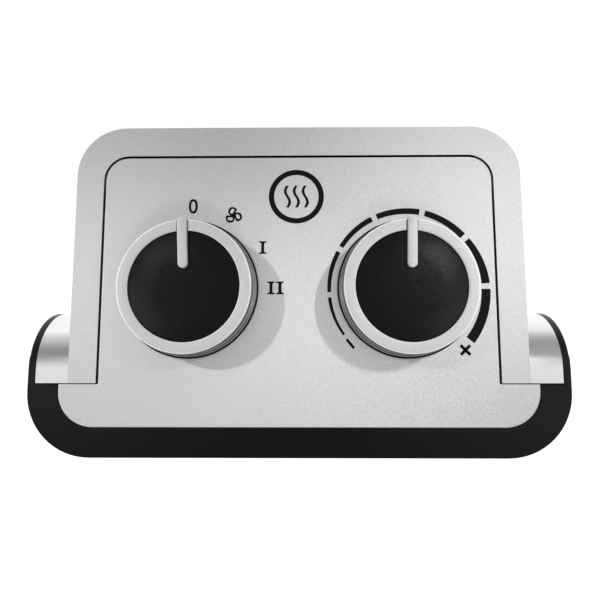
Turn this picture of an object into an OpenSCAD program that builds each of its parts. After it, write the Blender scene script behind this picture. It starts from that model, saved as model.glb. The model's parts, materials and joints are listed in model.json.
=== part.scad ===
// Upright ceramic fan heater, seen from above in the photograph.
// +Z is up, the front faces -Y and the origin is on the floor below the middle of the casing.

/* [Casing] */
// Overall width of the front unit
body_w = 176.7; // [172:0.1:186]
// Overall depth, front face to back face
body_d = 110.4; // [108:0.1:124]
// Height of the control panel's top face above the floor
panel_z = 241; // [236:1:270]
// How far a shoulder stands out past the side of the rear housing
shoulder_w = 13.15; // [11:0.05:16]
// Depth of the front unit, front face to the back of the shoulders
slab_d = 47.7; // [45:0.1:52]
// Distance of the parting line behind the front face
seam_d = 23.7; // [22:0.1:25]
// Radius of the rolled top edge of the shoulders
shoulder_r = 19.2; // [14:0.1:21]
// Radius of the rolled bottom edge of the shoulders
shoulder_low_r = 12; // [6:0.5:16]
// Plan radius of the two front corners
front_corner_r = 21.2; // [16:0.1:24]
// Plan radius of the two back corners of the rear housing
rear_corner_r = 16.5; // [12:0.1:18]
// Wall of the moulded shells
wall = 2.4; // [2:0.1:3]
// Thickness of the black end caps and of the bezel's side arms
side_rim_t = 2.45; // [2:0.05:3]
// Width of the open joint between neighbouring casing parts
seam_gap = 0.3; // [0.2:0.05:0.5]

/* [Control panel] */
// Width of the rim beside the panel, with its shadow gap
rim_side_w = 9.9; // [9:0.1:12]
// Thickness of the panel
panel_t = 2.4; // [2:0.1:3]
// Shadow gap between the panel and the rim round it
panel_gap = 0.7; // [0.5:0.1:1]
// Width of the rim behind the panel
rim_back_w = 10; // [9:0.1:12]
// Plan radius of the panel's back corners
panel_corner_r = 7.7; // [5:0.1:10]
// Width of the black bezel in front of the panel
bezel_front_t = 9.5; // [8.5:0.1:11]
// Width of the black bezel beside the panel
bezel_side_t = 10; // [9:0.1:11]
// Thickness of the ledge that carries the panel
ledge_t = 1.8; // [1.5:0.1:2.5]
// How far the ledge reaches under the panel
ledge_w = 2; // [1.5:0.1:3]

/* [Knobs] */
// Distance between the two knob axes
knob_pitch = 71.9; // [68:0.1:74]
// Distance of the knob axes behind the front face
knob_d = 54.6; // [52:0.1:58]
// Radius of a knob at its base
knob_base_r = 23; // [21:0.1:24]
// Radius of a knob's top edge
knob_top_r = 21.4; // [20.6:0.1:22]
// Height of a knob's ring above the panel
knob_h = 8.3; // [8:0.1:12]
// Gap between a knob's base and the panel
knob_lift = 0.5; // [0.3:0.1:0.8]
// Wall of a knob's skirt
knob_wall = 2; // [1.6:0.1:2.2]
// Radius of the black inlay disc
inlay_r = 17.7; // [16:0.1:18]
// Thickness of the inlay disc
inlay_t = 1.35; // [1:0.05:1.5]
// Depth of the inlay's face below the ring's face
inlay_drop = 0.5; // [0.3:0.1:0.8]
// Width of the pointer bar
pointer_w = 3.1; // [2.5:0.1:4]
// Height of the pointer bar above the inlay
pointer_h = 1.2; // [1:0.1:2]
// Distance of the pointer's inner end from the axis
pointer_in_r = 5.6; // [4:0.1:8]
// Distance of the pointer's outer end from the axis
pointer_out_r = 21.9; // [21.4:0.1:22.4]
// Turn of the selector's pointer at rest, counter-clockwise from straight back
selector_turn = 2.5; // [-4:0.5:4]
// Turn of the thermostat's pointer at rest, counter-clockwise from straight back
thermostat_turn = -1.5; // [-4:0.5:4]

/* [Shafts and switches] */
// Radius of a control shaft
shaft_r = 3; // [2.5:0.1:3.4]
// Depth of the flat on a control shaft
shaft_flat = 1.4; // [1:0.1:1.8]
// Radial clearance of a shaft that turns in its bush
run_clear = 0.05; // [0.03:0.01:0.08]
// Outer radius of a control's threaded bush
bush_r = 4.9; // [4.6:0.1:5.2]
// Height of the bush above the panel
bush_h = 2.4; // [2:0.1:2.6]
// Height of a bush nut
nut_h = 2; // [1.6:0.1:2]
// Width of a bush nut across its corners
nut_w = 15; // [14:0.5:17]
// Width and depth of the rotary switch body
switch_w = 30; // [28:1:34]
// Height of the rotary switch body
switch_h = 18; // [16:1:22]
// Radius of the switch cam
cam_r = 9; // [8:0.5:10]
// Height of the switch cam
cam_h = 5; // [4:0.5:6]
// Length of the thermostat's steel base
thermostat_l = 36; // [32:1:40]
// Width of the thermostat's base
thermostat_w = 16; // [14:1:20]
// Height of the thermostat's insulator stack
stack_h = 12; // [10:1:14]

/* [Outlet] */
// Width of the flat front face beside the outlet
outlet_edge = 3.15; // [2.5:0.05:6]
// Height of the outlet opening
outlet_h = 120; // [112:1:126]
// Corner radius of the outlet opening
outlet_r = 10; // [6:1:14]
// Distance between outlet louvres
louvre_pitch = 8.4; // [7:0.1:11]
// Depth of an outlet louvre
louvre_d = 6; // [5:0.5:6.5]
// Thickness of an outlet louvre
louvre_t = 1.6; // [1.2:0.1:2]
// Downward tilt of the louvres
louvre_tilt = 18; // [0:1:25]
// Distance between the wires of the guard mesh
mesh_pitch = 9; // [7:0.5:12]
// Thickness of a guard wire
mesh_t = 1; // [0.8:0.1:1.4]

/* [Heating element] */
// Distance of the element's side from the side of the outlet
element_side = 6.2; // [5:0.1:10]
// Distance of the element's end from the end of the outlet
element_end = 9.2; // [8:0.1:12]
// Depth of the element's frame
element_d = 16; // [14:0.5:18]
// Thickness of the element's frame
element_frame_t = 4; // [3:0.5:5]
// Number of ceramic heating bars
bar_count = 3; // [2:1:4]
// Height of a ceramic heating bar
bar_h = 4.8; // [4:0.1:6]
// Number of ceramic stones in a bar
stone_count = 4; // [3:1:6]
// Thickness of an electrode strip
electrode_t = 0.8; // [0.6:0.1:1]
// Distance between the crests of a corrugated fin
fin_pitch = 3.8; // [3:0.1:6]
// Thickness of the fin sheet
fin_t = 0.4; // [0.3:0.05:0.6]
// Thickness of the sheet-steel heat duct
duct_t = 1; // [0.8:0.1:1.4]

/* [Fan and motor] */
// Height of the fan's axis above the floor
fan_z = 112; // [108:1:120]
// Radius of the impeller
fan_r = 46; // [42:1:47]
// Depth of the impeller
fan_d = 18; // [14:1:20]
// Number of blades
blade_count = 7; // [5:1:9]
// Angle of the blades
blade_angle = 34; // [25:1:42]
// Thickness of a blade
blade_t = 1.8; // [1.4:0.1:2.4]
// Radius of the impeller's hub
hub_r = 14; // [12:1:16]
// Gap between the blade tips and the duct ring
tip_gap = 3; // [2:0.5:4]
// Thickness of the shroud plate and its ring
shroud_t = 3; // [2.5:0.1:4]
// Radius of the motor
motor_r = 21; // [18:1:22]
// Length of the motor
motor_l = 30; // [26:1:32]
// Radius of the motor shaft
motor_shaft_r = 1.6; // [1.5:0.1:2.5]

/* [Air intake] */
// Width of the intake opening
intake_w = 92; // [84:1:96]
// Height of the intake opening
intake_h = 112; // [100:1:116]
// Corner radius of the intake opening
intake_r = 6; // [4:1:10]
// Width of an intake slot
slot_h = 4; // [3:0.5:5]
// Distance between intake slots
slot_pitch = 7.6; // [6.5:0.1:10]
// Columns of intake slots
slot_columns = 3; // [2:1:4]
// Thickness of the dust filter
filter_t = 1.5; // [1:0.1:2]

/* [Grip] */
// Width of the finger recess in the back
grip_w = 80; // [70:1:84]
// Height of the finger recess
grip_h = 22; // [18:1:26]
// Depth of the finger recess
grip_d = 17; // [14:1:20]
// Height of the recess's middle below the panel's face
grip_drop = 35; // [32:1:40]
// Wall of the recess cup
grip_wall = 1.8; // [1.5:0.1:2.5]

/* [Base] */
// Height of the rubber feet below the base
foot_h = 3; // [2:0.5:5]
// Radius of a rubber foot
foot_r = 6.5; // [5:0.5:8]
// Height of the base
base_h = 12; // [11:1:14]
// Inset of the base from the casing above it
base_inset = 1; // [0.5:0.1:1.5]
// Thickness of the base floor
floor_t = 3; // [2.5:0.1:4]
// Radius of the tip-over plunger
plunger_r = 4.2; // [3.5:0.1:5]
// Travel of the tip-over plunger
plunger_travel = 5; // [4:0.5:6]
// Outer radius of the supply cord that the gland takes
cord_r = 3.5; // [3:0.1:4]
// Height of the cord gland above the floor
gland_z = 32; // [28:1:36]
// Distance of the cord gland to the side of the middle
gland_x = 34; // [20:1:36]

/* [Screws] */
// Radius of a screw's shank
screw_r = 1.5; // [1.25:0.05:1.75]
// Radius of a screw's head
screw_head_r = 3.4; // [3:0.1:3.8]
// Height of a screw's head
screw_head_h = 2.2; // [1.8:0.1:2.6]
// Length of a screw's shank
screw_l = 14; // [10:1:16]
// Outer radius of a screw boss
boss_r = 4.6; // [4:0.1:5]

/* [Hidden] */
$fn = 64;

// How far a cutter runs past the face that it opens
cut = 1;
// Clearance between pieces that are pushed or glued together
fit = 0.1;
// Clearance between pieces that stand face to face without fixing each other
stand = 0.3;

silver = [0.78, 0.78, 0.78];
black = [0.13, 0.13, 0.13];
steel = [0.62, 0.64, 0.66];
brass = [0.78, 0.62, 0.3];

front_y = -body_d / 2;
back_y = body_d / 2;
seam_y = front_y + seam_d;
slab_back_y = front_y + slab_d;
shell_z = foot_h + base_h;
body_x = body_w / 2;
rear_x = body_x - shoulder_w;
shoulder_x = body_x - side_rim_t - fit;
// Part of the shoulder's curve that the bezel's arms cover
arm_over_curve = 4;
arm_back_y = slab_back_y - shoulder_r + arm_over_curve;

panel_x = rear_x - rim_side_w;
panel_low_x = body_x - bezel_side_t;
panel_front_y = front_y + bezel_front_t;
panel_back_y = back_y - rim_back_w - panel_gap;
panel_low_r = front_corner_r - bezel_front_t;
deck_t = panel_t + ledge_t;
under_z = panel_z - panel_t;
bezel_wall = 3;
// Thickness of the pads under the panel that carry the two switches
pad_t = 1;
pad_r = bush_r + 4;

knob_x = knob_pitch / 2;
knob_y = front_y + knob_d;
inlay_top = knob_h - inlay_drop;
inlay_floor = inlay_top - inlay_t;
inlay_edge = 0.2;
knob_plate_t = 1.4;
knob_edge = 0.6;
hub_wall = 3;
// Gap between a knob's hub and the bush, and between its shaft and the plate over it
hub_gap = 0.4;
hub_low = bush_h + hub_gap;
shaft_top = inlay_floor - knob_plate_t / 2;

// Heights of the switch parts count from the panel's face
switch_top = -panel_t - pad_t;
switch_floor_t = 4;
switch_corner_r = 3;
cam_low = switch_top - switch_h + switch_floor_t;
cam_room = 1;
notch_r = 2;
// How far the selector's shaft runs on below the cam
shaft_foot = 1;
// How far the thermostat's shaft reaches down from its base
spindle_l = 6;
thermostat_t = 1.5;
stack_l = 9;
stack_wall = 1;
stack_y = thermostat_l - thermostat_w / 2 - stack_l - stack_wall;
bimetal_t = 0.8;
bimetal_w = 7;
bimetal_z = switch_top - 9.4;
contact_r = 2.2;
contact_t = 1.6;
// Flat connector tabs
tab_w = 6.3;
tab_t = 0.8;
tab_l = 8;
tab_pitch = 9;

outlet_w = 2 * (body_x - front_corner_r - outlet_edge);
element_w = outlet_w - 2 * element_side;
element_h = outlet_h - 2 * element_end;
grille_set = 1;
grille_rim_w = 2.5;
grille_flange_t = 1.5;
grille_flange_w = outlet_edge + bezel_wall - side_rim_t - fit;
// How far ribs run into the rim that carries them
rib_in = 0.5;
mesh_y = front_y + bezel_wall + grille_flange_t + 2 * fit;

shroud_back_y = seam_y + 10;
shroud_front_y = shroud_back_y - shroud_t;
shroud_low_z = shell_z + 2;
shroud_high_z = fan_z + outlet_h / 2 + 10;
shroud_x = shoulder_x - wall - 2;
baffle_t = 1.2;
baffle_z = shroud_high_z + fit;

ring_r = fan_r + tip_gap;
ring_back_y = shroud_back_y + fan_d + 5;
fan_front_y = shroud_back_y + 2;
fan_hub_t = 2;
shaft_boss_t = 3;
bracket_t = 3;
spoke_w = 8;
motor_front_y = ring_back_y + bracket_t;
motor_back_y = motor_front_y + motor_l;
motor_wall = 1.5;
motor_bush_r = 4;
motor_bush_l = 5;
motor_nose_l = 2;
motor_nose_r = motor_bush_r + 2;
motor_screw_x = 0.6 * motor_r;
motor_screw_head_r = 2.8;
motor_screw_head_h = 1.8;
magnet_set = 1;
magnet_in_r = 0.62 * motor_r;
air_gap = 0.6;
winding_slot_r = 1.5;

duct_w = element_w + 2 * fit;
duct_h = element_h + 2 * fit;
duct_flange_w = 6;
duct_front_y = mesh_y + mesh_t + fit;
duct_back_y = shroud_front_y - fit;
element_y = duct_back_y - 2 - element_d;
stack_x = element_w / 2 - element_frame_t;
stack_span = element_h - 2 * element_frame_t;
heated_h = bar_h + 2 * electrode_t;
bank_h = (stack_span - bar_count * heated_h) / (bar_count + 1);
fin_inset = 1;
fin_d = element_d - 2 * fin_inset;
stone_gap = 1;
lug_w = 6;
lug_room = 1;
cutout_x = -20;
cutout_z = fan_z + duct_h / 2 + duct_t;
cutout_r = 8;
cutout_cap_r = 6.5;
cutout_low_h = 4;
cutout_h = 9;
fuse_x = 14;
fuse_r = 2;
fuse_l = 14;

intake_bar_w = 4;
intake_flange_w = 4;
intake_flange_t = 1.6;
filter_back_y = back_y - wall - intake_flange_t - 2 * fit;
filter_grid_t = 2;
filter_bar_w = 3;
grip_z = panel_z - grip_drop;
grip_lip_w = 3;

screw_x = intake_w / 2 + 8;
screw_low_z = shroud_low_z + 17;
screw_high_z = shroud_high_z - 8;
tube_l = 22;
tube_end_y = back_y - wall - tube_l;
seat_t = 3;
head_clear = 0.5;
shank_clear = 0.25;
tube_r = screw_head_r + head_clear + wall / 2;
recess_w = screw_head_r / 4;
recess_l = 1.2 * screw_head_r;

base_screw_y = [seam_y - seam_gap - boss_r, back_y - rear_corner_r - 12];
// Bosses grow 1 mm into the wall beside them
boss_in = 1;
base_screw_x = [body_x - side_rim_t - boss_r + boss_in, rear_x - wall - boss_r + boss_in];
base_wall = 3;
base_top_z = foot_h + floor_t;
boss_h = 22;
foot_in = 1.5;
foot_chamfer = 1;
foot_front_y = front_y + 22;
foot_rear_y = back_y - 22;
foot_front_x = body_x - 22;
foot_rear_x = rear_x - 20;

gland_l = 14;
gland_r = cord_r + 4.5;
gland_flange_t = 2;
gland_flange_r = gland_r + 2.5;
terminal_x = -30;
terminal_w = 30;
terminal_d = 14;
terminal_h = 12;
terminal_pitch = 9;
clamp_z = 7;
clamp_r = 2.5;
clamp_wall = 1;
driver_r = 1.8;

tip_y = ring_back_y + 12;
guide_top_z = base_top_z + 4;
collar_h = 2;
collar_low_z = guide_top_z + plunger_travel + stand;
collar_r = plunger_r + 1.8;
case_in_r = collar_r + 0.5;
case_wall = 2;
// Length of the spring pressed flat, above the collar's highest place
spring_flat_l = 6;
case_top_z = collar_low_z + collar_h + plunger_travel + spring_flat_l;
spring_out_r = collar_r - 0.6;
spring_t = 1;
pin_r = plunger_r - 1.2;
micro_z = case_top_z + case_wall + 1.5;
micro_l = 20;
micro_w = 6.4;
micro_h = 10;
micro_leg_w = 3;
micro_pitch = 7;

// Takes the square corner at x, y off a flat shape; sx and sy point out of the corner
module corner_cut(x, y, r, sx, sy) {
    difference() {
        translate([min(x - sx * r, x + sx * cut), min(y - sy * r, y + sy * cut)])
            square([r + cut, r + cut]);
        translate([x - sx * r, y - sy * r]) circle(r);
    }
}

// Plan outline with round front corners
module front_plan(x, y0, y1, r) {
    difference() {
        translate([-x, y0]) square([2 * x, y1 - y0]);
        for (s = [-1, 1]) corner_cut(s * x, y0, r, s, -1);
    }
}

// Plan outline with round back corners
module back_plan(x, y0, y1, r) {
    difference() {
        translate([-x, y0]) square([2 * x, y1 - y0]);
        for (s = [-1, 1]) corner_cut(s * x, y1, r, s, 1);
    }
}

// Rectangle round its middle with four round corners
module round_rect(w, h, r) {
    difference() {
        square([w, h], center = true);
        for (sx = [-1, 1], sy = [-1, 1]) corner_cut(sx * w / 2, sy * h / 2, r, sx, sy);
    }
}

// Prism of a plan outline between two heights
module rise(z0, z1) {
    translate([0, 0, z0]) linear_extrude(z1 - z0) children();
}

// Prism of an X-Z outline between two depths
module reach(y0, y1) {
    translate([0, y1, 0]) rotate([90, 0, 0]) linear_extrude(y1 - y0) children();
}

// Solid of revolution or prism whose local Z becomes +Y, at the fan's axis
module on_fan_axis(y0) {
    translate([0, y0, fan_z]) rotate([-90, 0, 0]) children();
}

// The front unit's side profile, rolled over at the top and bottom of its back, between two x
module slab(x0, x1, inset) {
    y1 = slab_back_y - inset;
    z0 = shell_z + inset;
    z1 = panel_z - inset;
    translate([x0, 0, 0]) rotate([90, 0, 90]) linear_extrude(x1 - x0) difference() {
        translate([front_y, z0]) square([y1 - front_y, z1 - z0]);
        corner_cut(y1, z1, shoulder_r - inset, 1, 1);
        corner_cut(y1, z0, shoulder_low_r - inset, 1, -1);
    }
}

// Block between two corners
module block(a, b) {
    translate(a) cube(b - a);
}

// Screw with its head's underside at the origin and its shank along +Z
module screw() {
    translate([0, 0, -screw_head_h]) difference() {
        cylinder(r = screw_head_r, h = screw_head_h);
        for (a = [0, 90]) rotate(a) translate([0, 0, screw_head_h / 4 - cut / 2])
            cube([recess_l, recess_w, screw_head_h / 2 + cut], center = true);
    }
    cylinder(r = screw_r, h = screw_l);
}

// Positions of the four screws in the back
module at_housing_screws() {
    for (x = [-screw_x, screw_x], z = [screw_low_z, screw_high_z])
        translate([x, 0, z]) children();
}

// Positions of the four screws in the base
module at_base_screws() {
    for (s = [-1, 1], i = [0, 1])
        translate([s * base_screw_x[i], base_screw_y[i], 0]) children();
}

module rear_housing() color(silver) {
    difference() {
        union() {
            difference() {
                union() {
                    rise(shell_z, panel_z) back_plan(rear_x, seam_y, back_y, rear_corner_r);
                    intersection() {
                        slab(-shoulder_x, shoulder_x, 0);
                        block([-body_x, seam_y, 0], [body_x, back_y, panel_z]);
                    }
                }
                rise(shell_z - cut, panel_z - deck_t)
                    back_plan(rear_x - wall, seam_y - cut, back_y - wall, rear_corner_r - wall);
                difference() {
                    slab(wall - shoulder_x, shoulder_x - wall, wall);
                    block([-body_x, slab_back_y, 0], [body_x, back_y, panel_z]);
                }
                block([wall - shoulder_x, seam_y - cut, shell_z - cut],
                    [shoulder_x - wall, slab_back_y - shoulder_low_r, shell_z + wall + cut]);
            }
            for (x = [-screw_x, screw_x], z = [screw_low_z, screw_high_z])
                translate([x, tube_end_y, z]) rotate([-90, 0, 0])
                    cylinder(r = tube_r, h = tube_l + wall / 2);
            for (s = [-1, 1]) translate([s * base_screw_x[1], base_screw_y[1], shell_z])
                cylinder(r = boss_r, h = boss_h);
        }
        rise(under_z, panel_z + cut) back_plan(panel_x + panel_gap, seam_y - cut,
            panel_back_y + panel_gap, panel_corner_r + panel_gap);
        rise(under_z - ledge_t - cut, under_z + cut) back_plan(panel_x - ledge_w, seam_y - cut,
            panel_back_y - ledge_w, panel_corner_r - ledge_w);
        for (x = [-screw_x, screw_x], z = [screw_low_z, screw_high_z]) translate([x, 0, z]) {
            translate([0, tube_end_y + seat_t, 0]) rotate([-90, 0, 0])
                cylinder(r = screw_head_r + head_clear, h = tube_l + wall + cut);
            translate([0, tube_end_y - cut, 0]) rotate([-90, 0, 0])
                cylinder(r = screw_r + shank_clear, h = seat_t + 2 * cut);
        }
        for (s = [-1, 1]) translate([s * base_screw_x[1], base_screw_y[1], shell_z - cut])
            cylinder(r = screw_r, h = screw_l + cut);
        reach(back_y - wall - cut, back_y + cut) translate([0, fan_z])
            round_rect(intake_w, intake_h, intake_r);
        reach(back_y - wall - cut, back_y + cut) translate([0, grip_z])
            round_rect(grip_w + 2 * fit, grip_h + 2 * fit, grip_h / 4 + fit);
        translate([gland_x, back_y - wall - cut, gland_z]) rotate([-90, 0, 0])
            cylinder(r = gland_r + fit, h = wall + 2 * cut);
    }
}

module control_panel() color(silver) {
    difference() {
        union() {
            rise(under_z, panel_z) {
                front_plan(panel_low_x - fit, panel_front_y + fit, seam_y - seam_gap,
                    panel_low_r - fit);
                back_plan(panel_x, seam_y - seam_gap - cut, panel_back_y, panel_corner_r);
            }
            for (s = [-1, 1]) translate([s * knob_x, knob_y, under_z - pad_t])
                cylinder(r = pad_r, h = pad_t + panel_t / 2);
        }
        for (s = [-1, 1]) translate([s * knob_x, knob_y, under_z - pad_t - cut])
            cylinder(r = bush_r + fit, h = panel_t + pad_t + 2 * cut);
    }
}

module front_bezel() color(black) {
    difference() {
        union() {
            difference() {
                intersection() {
                    rise(shell_z, panel_z)
                        front_plan(body_x, front_y, arm_back_y, front_corner_r);
                    slab(-body_x, body_x, 0);
                }
                rise(shell_z - cut, panel_z - deck_t) front_plan(body_x - side_rim_t,
                    front_y + bezel_wall, arm_back_y + cut, front_corner_r - bezel_wall);
                block([side_rim_t - body_x, seam_y - seam_gap, 0],
                    [body_x - side_rim_t, back_y, panel_z + cut]);
            }
            for (s = [-1, 1]) translate([s * base_screw_x[0], base_screw_y[0], shell_z])
                cylinder(r = boss_r, h = boss_h);
        }
        rise(under_z, panel_z + cut)
            front_plan(panel_low_x, panel_front_y, back_y, panel_low_r);
        rise(under_z - ledge_t - cut, panel_z) front_plan(panel_low_x - ledge_w,
            panel_front_y + ledge_w, back_y, panel_low_r - ledge_w);
        reach(front_y - cut, front_y + bezel_wall + cut) translate([0, fan_z])
            round_rect(outlet_w, outlet_h, outlet_r);
        for (s = [-1, 1]) translate([s * base_screw_x[0], base_screw_y[0], shell_z - cut])
            cylinder(r = screw_r, h = screw_l + cut);
    }
}

// Black end cap of a shoulder; s is -1 on the left and 1 on the right
module side_cap(s) {
    intersection() {
        slab(s < 0 ? -body_x : body_x - side_rim_t, s < 0 ? side_rim_t - body_x : body_x, 0);
        block([-body_x, arm_back_y + seam_gap, 0], [body_x, back_y, panel_z]);
    }
}

module side_cap_left() color(black) side_cap(-1);

module side_cap_right() color(black) side_cap(1);

module outlet_grille() color(black) {
    grille_front_y = front_y + grille_set;
    flange_y = front_y + bezel_wall + fit;
    grille_back_y = flange_y + grille_flange_t;
    rib_w = outlet_w - 2 * (grille_rim_w - rib_in);
    rib_h = outlet_h - 2 * (grille_rim_w - rib_in);
    reach(grille_front_y, grille_back_y) translate([0, fan_z]) difference() {
        round_rect(outlet_w - 2 * fit, outlet_h - 2 * fit, outlet_r - fit);
        grille_hole();
    }
    reach(flange_y, grille_back_y) translate([0, fan_z]) difference() {
        round_rect(outlet_w + 2 * grille_flange_w, outlet_h + 2 * grille_flange_w, outlet_r);
        grille_hole();
    }
    intersection() {
        louvres = floor((outlet_h - 4 * grille_rim_w) / louvre_pitch / 2);
        for (i = [-louvres:louvres]) translate([0, grille_front_y + louvre_d / 2, fan_z +
            i * louvre_pitch]) rotate([louvre_tilt, 0, 0])
            cube([rib_w, louvre_d, louvre_t], center = true);
        reach(grille_front_y, grille_back_y) translate([0, fan_z])
            round_rect(rib_w, rib_h, outlet_r - grille_rim_w + rib_in);
    }
    for (x = [-outlet_w / 4, 0, outlet_w / 4])
        block([x - louvre_t / 2, grille_front_y + grille_set, fan_z - rib_h / 2],
            [x + louvre_t / 2, grille_back_y, fan_z + rib_h / 2]);
}

// Hole inside the outlet grille's rim
module grille_hole() {
    round_rect(outlet_w - 2 * grille_rim_w, outlet_h - 2 * grille_rim_w, outlet_r - grille_rim_w);
}

module guard_mesh() color(steel) {
    mesh_w = outlet_w + grille_flange_w;
    mesh_h = outlet_h + grille_flange_w;
    columns = floor(mesh_w / mesh_pitch / 2);
    rows = floor(mesh_h / mesh_pitch / 2);
    reach(mesh_y, mesh_y + mesh_t) translate([0, fan_z]) {
        difference() {
            square([mesh_w, mesh_h], center = true);
            square([mesh_w - 4 * mesh_t, mesh_h - 4 * mesh_t], center = true);
        }
        for (i = [-columns:columns]) translate([i * mesh_pitch, 0])
            square([mesh_t, mesh_h - 2 * mesh_t], center = true);
        for (i = [-rows:rows]) translate([0, i * mesh_pitch])
            square([mesh_w - 2 * mesh_t, mesh_t], center = true);
    }
}

// Plan outline of the base, inset from the casing above it
module base_plan(inset) {
    front_plan(body_x - inset, front_y + inset, slab_back_y - shoulder_low_r - inset,
        front_corner_r - inset);
    back_plan(rear_x - inset, seam_y, back_y - inset, rear_corner_r - inset);
}

// Positions of the four rubber feet
module at_feet() {
    for (s = [-1, 1]) {
        translate([s * foot_front_x, foot_front_y, 0]) children();
        translate([s * foot_rear_x, foot_rear_y, 0]) children();
    }
}

module base_plate() color(black) {
    difference() {
        union() {
            difference() {
                rise(foot_h, shell_z) base_plan(base_inset);
                rise(base_top_z, shell_z + cut) base_plan(base_inset + base_wall);
            }
            at_base_screws() translate([0, 0, foot_h])
                cylinder(r = boss_r, h = base_h);
            translate([0, tip_y, foot_h]) cylinder(r = collar_r, h = guide_top_z - foot_h);
        }
        at_base_screws() {
            translate([0, 0, foot_h - cut])
                cylinder(r = screw_head_r + head_clear, h = base_h - seat_t + cut);
            cylinder(r = screw_r + shank_clear, h = shell_z + cut);
        }
        at_feet() translate([0, 0, foot_h - cut]) cylinder(r = foot_r + fit, h = foot_in + cut);
        translate([0, tip_y, foot_h - cut])
            cylinder(r = plunger_r + run_clear, h = guide_top_z - foot_h + 2 * cut);
    }
}

module rubber_feet() color([0.1, 0.1, 0.1]) at_feet() {
    cylinder(r1 = foot_r - foot_chamfer, r2 = foot_r, h = foot_chamfer);
    translate([0, 0, foot_chamfer]) cylinder(r = foot_r, h = foot_h + foot_in - foot_chamfer);
}

module intake_grille() color(black) {
    slot_w = (intake_w - 2 * intake_bar_w) / slot_columns - intake_bar_w;
    slots = floor((intake_h - 3 * intake_bar_w) / slot_pitch / 2);
    flange_y = back_y - wall - fit - intake_flange_t;
    difference() {
        union() {
            reach(back_y - wall, back_y) translate([0, fan_z])
                round_rect(intake_w - 2 * fit, intake_h - 2 * fit, intake_r - fit);
            reach(flange_y, back_y - wall - fit) translate([0, fan_z])
                round_rect(intake_w + 2 * intake_flange_w, intake_h + 2 * intake_flange_w, intake_r);
            reach(flange_y + fit, back_y - wall / 2) translate([0, fan_z])
                round_rect(intake_w - intake_flange_w, intake_h - intake_flange_w,
                    intake_r - intake_flange_w / 2);
        }
        reach(flange_y - cut, back_y + cut) for (i = [-slots:slots], j = [0:slot_columns - 1])
            translate([(j - (slot_columns - 1) / 2) * (slot_w + intake_bar_w),
                fan_z + i * slot_pitch]) round_rect(slot_w, slot_h, slot_h / 2 - fit);
    }
}

module dust_filter() color([0.25, 0.26, 0.27])
    reach(filter_back_y - filter_t, filter_back_y) translate([0, fan_z])
        round_rect(intake_w, intake_h, intake_r);

module filter_frame() color([0.2, 0.2, 0.2]) {
    frame_front_y = filter_back_y - filter_t - filter_grid_t;
    reach(frame_front_y, filter_back_y) translate([0, fan_z]) difference() {
        round_rect(intake_w + 2 * intake_flange_w, intake_h + 2 * intake_flange_w, intake_r);
        round_rect(intake_w + 2 * fit, intake_h + 2 * fit, intake_r + fit);
    }
    reach(frame_front_y, frame_front_y + filter_grid_t - fit) translate([0, fan_z]) {
        difference() {
            round_rect(intake_w + intake_flange_w, intake_h + intake_flange_w, intake_r);
            round_rect(intake_w - intake_flange_w, intake_h - intake_flange_w,
                intake_r - intake_flange_w / 2);
        }
        square([filter_bar_w, intake_h], center = true);
        square([intake_w, filter_bar_w], center = true);
    }
}

module grip_recess() color(black) {
    lip_y = back_y - wall - fit;
    difference() {
        union() {
            reach(back_y - grip_d - grip_wall, back_y) translate([0, grip_z])
                round_rect(grip_w, grip_h, grip_h / 4);
            reach(lip_y - grip_wall, lip_y) translate([0, grip_z])
                round_rect(grip_w + 2 * grip_lip_w, grip_h + 2 * grip_lip_w, grip_h / 4 + grip_lip_w);
        }
        reach(back_y - grip_d, back_y + cut) translate([0, grip_z])
            round_rect(grip_w - 2 * grip_wall, grip_h - 2 * grip_wall, grip_h / 4 - grip_wall);
    }
}

module housing_screws() color(steel) at_housing_screws()
    translate([0, tube_end_y + seat_t, 0]) rotate([90, 0, 0]) screw();

module base_screws() color(steel) at_base_screws()
    translate([0, 0, shell_z - seat_t]) screw();

// Moves to a knob's axis at the panel's face and turns to its rest angle
module at_knob(s, turn) {
    translate([s * knob_x, knob_y, panel_z]) rotate(turn) children();
}

// Flat-sided round bar or bore for a control shaft, with the flat towards +X
module flatted(r, flat, z0, z1) {
    translate([0, 0, z0]) linear_extrude(z1 - z0) difference() {
        circle(r);
        translate([r - flat, -r - cut]) square([flat + cut, 2 * (r + cut)]);
    }
}

// Straight bar in plan with round ends, from r0 to r1 along +Y
module bar_plan(r0, r1, w) {
    translate([-w / 2, r0 + w / 2]) square([w, r1 - r0 - w]);
    for (y = [r0 + w / 2, r1 - w / 2]) translate([0, y]) circle(w / 2);
}

module knob() color(silver) {
    skirt_r = knob_base_r - knob_wall;
    plate_low = inlay_floor - knob_plate_t;
    difference() {
        rotate_extrude() polygon([
            [0, inlay_floor],
            [inlay_r + fit, inlay_floor],
            [inlay_r + fit, knob_h],
            [knob_top_r - knob_edge, knob_h],
            [knob_top_r, knob_h - knob_edge],
            [knob_base_r, knob_lift],
            [skirt_r, knob_lift],
            [skirt_r - (knob_base_r - knob_top_r), plate_low],
            [shaft_r + hub_wall, plate_low],
            [shaft_r + hub_wall, hub_low],
            [0, hub_low]]);
        flatted(shaft_r + run_clear, shaft_flat, hub_low - cut, shaft_top + fit);
        rise(inlay_top, knob_h + cut) translate([-pointer_w / 2 - fit, inlay_r])
            square([pointer_w + 2 * fit, knob_base_r]);
    }
}

module inlay() color(black)
    rotate_extrude() polygon([[0, inlay_floor], [inlay_r, inlay_floor],
        [inlay_r, inlay_top - inlay_edge], [inlay_r - inlay_edge, inlay_top], [0, inlay_top]]);

module pointer() color(silver)
    rise(inlay_top, inlay_top + pointer_h) bar_plan(pointer_in_r, pointer_out_r, pointer_w);

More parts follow.
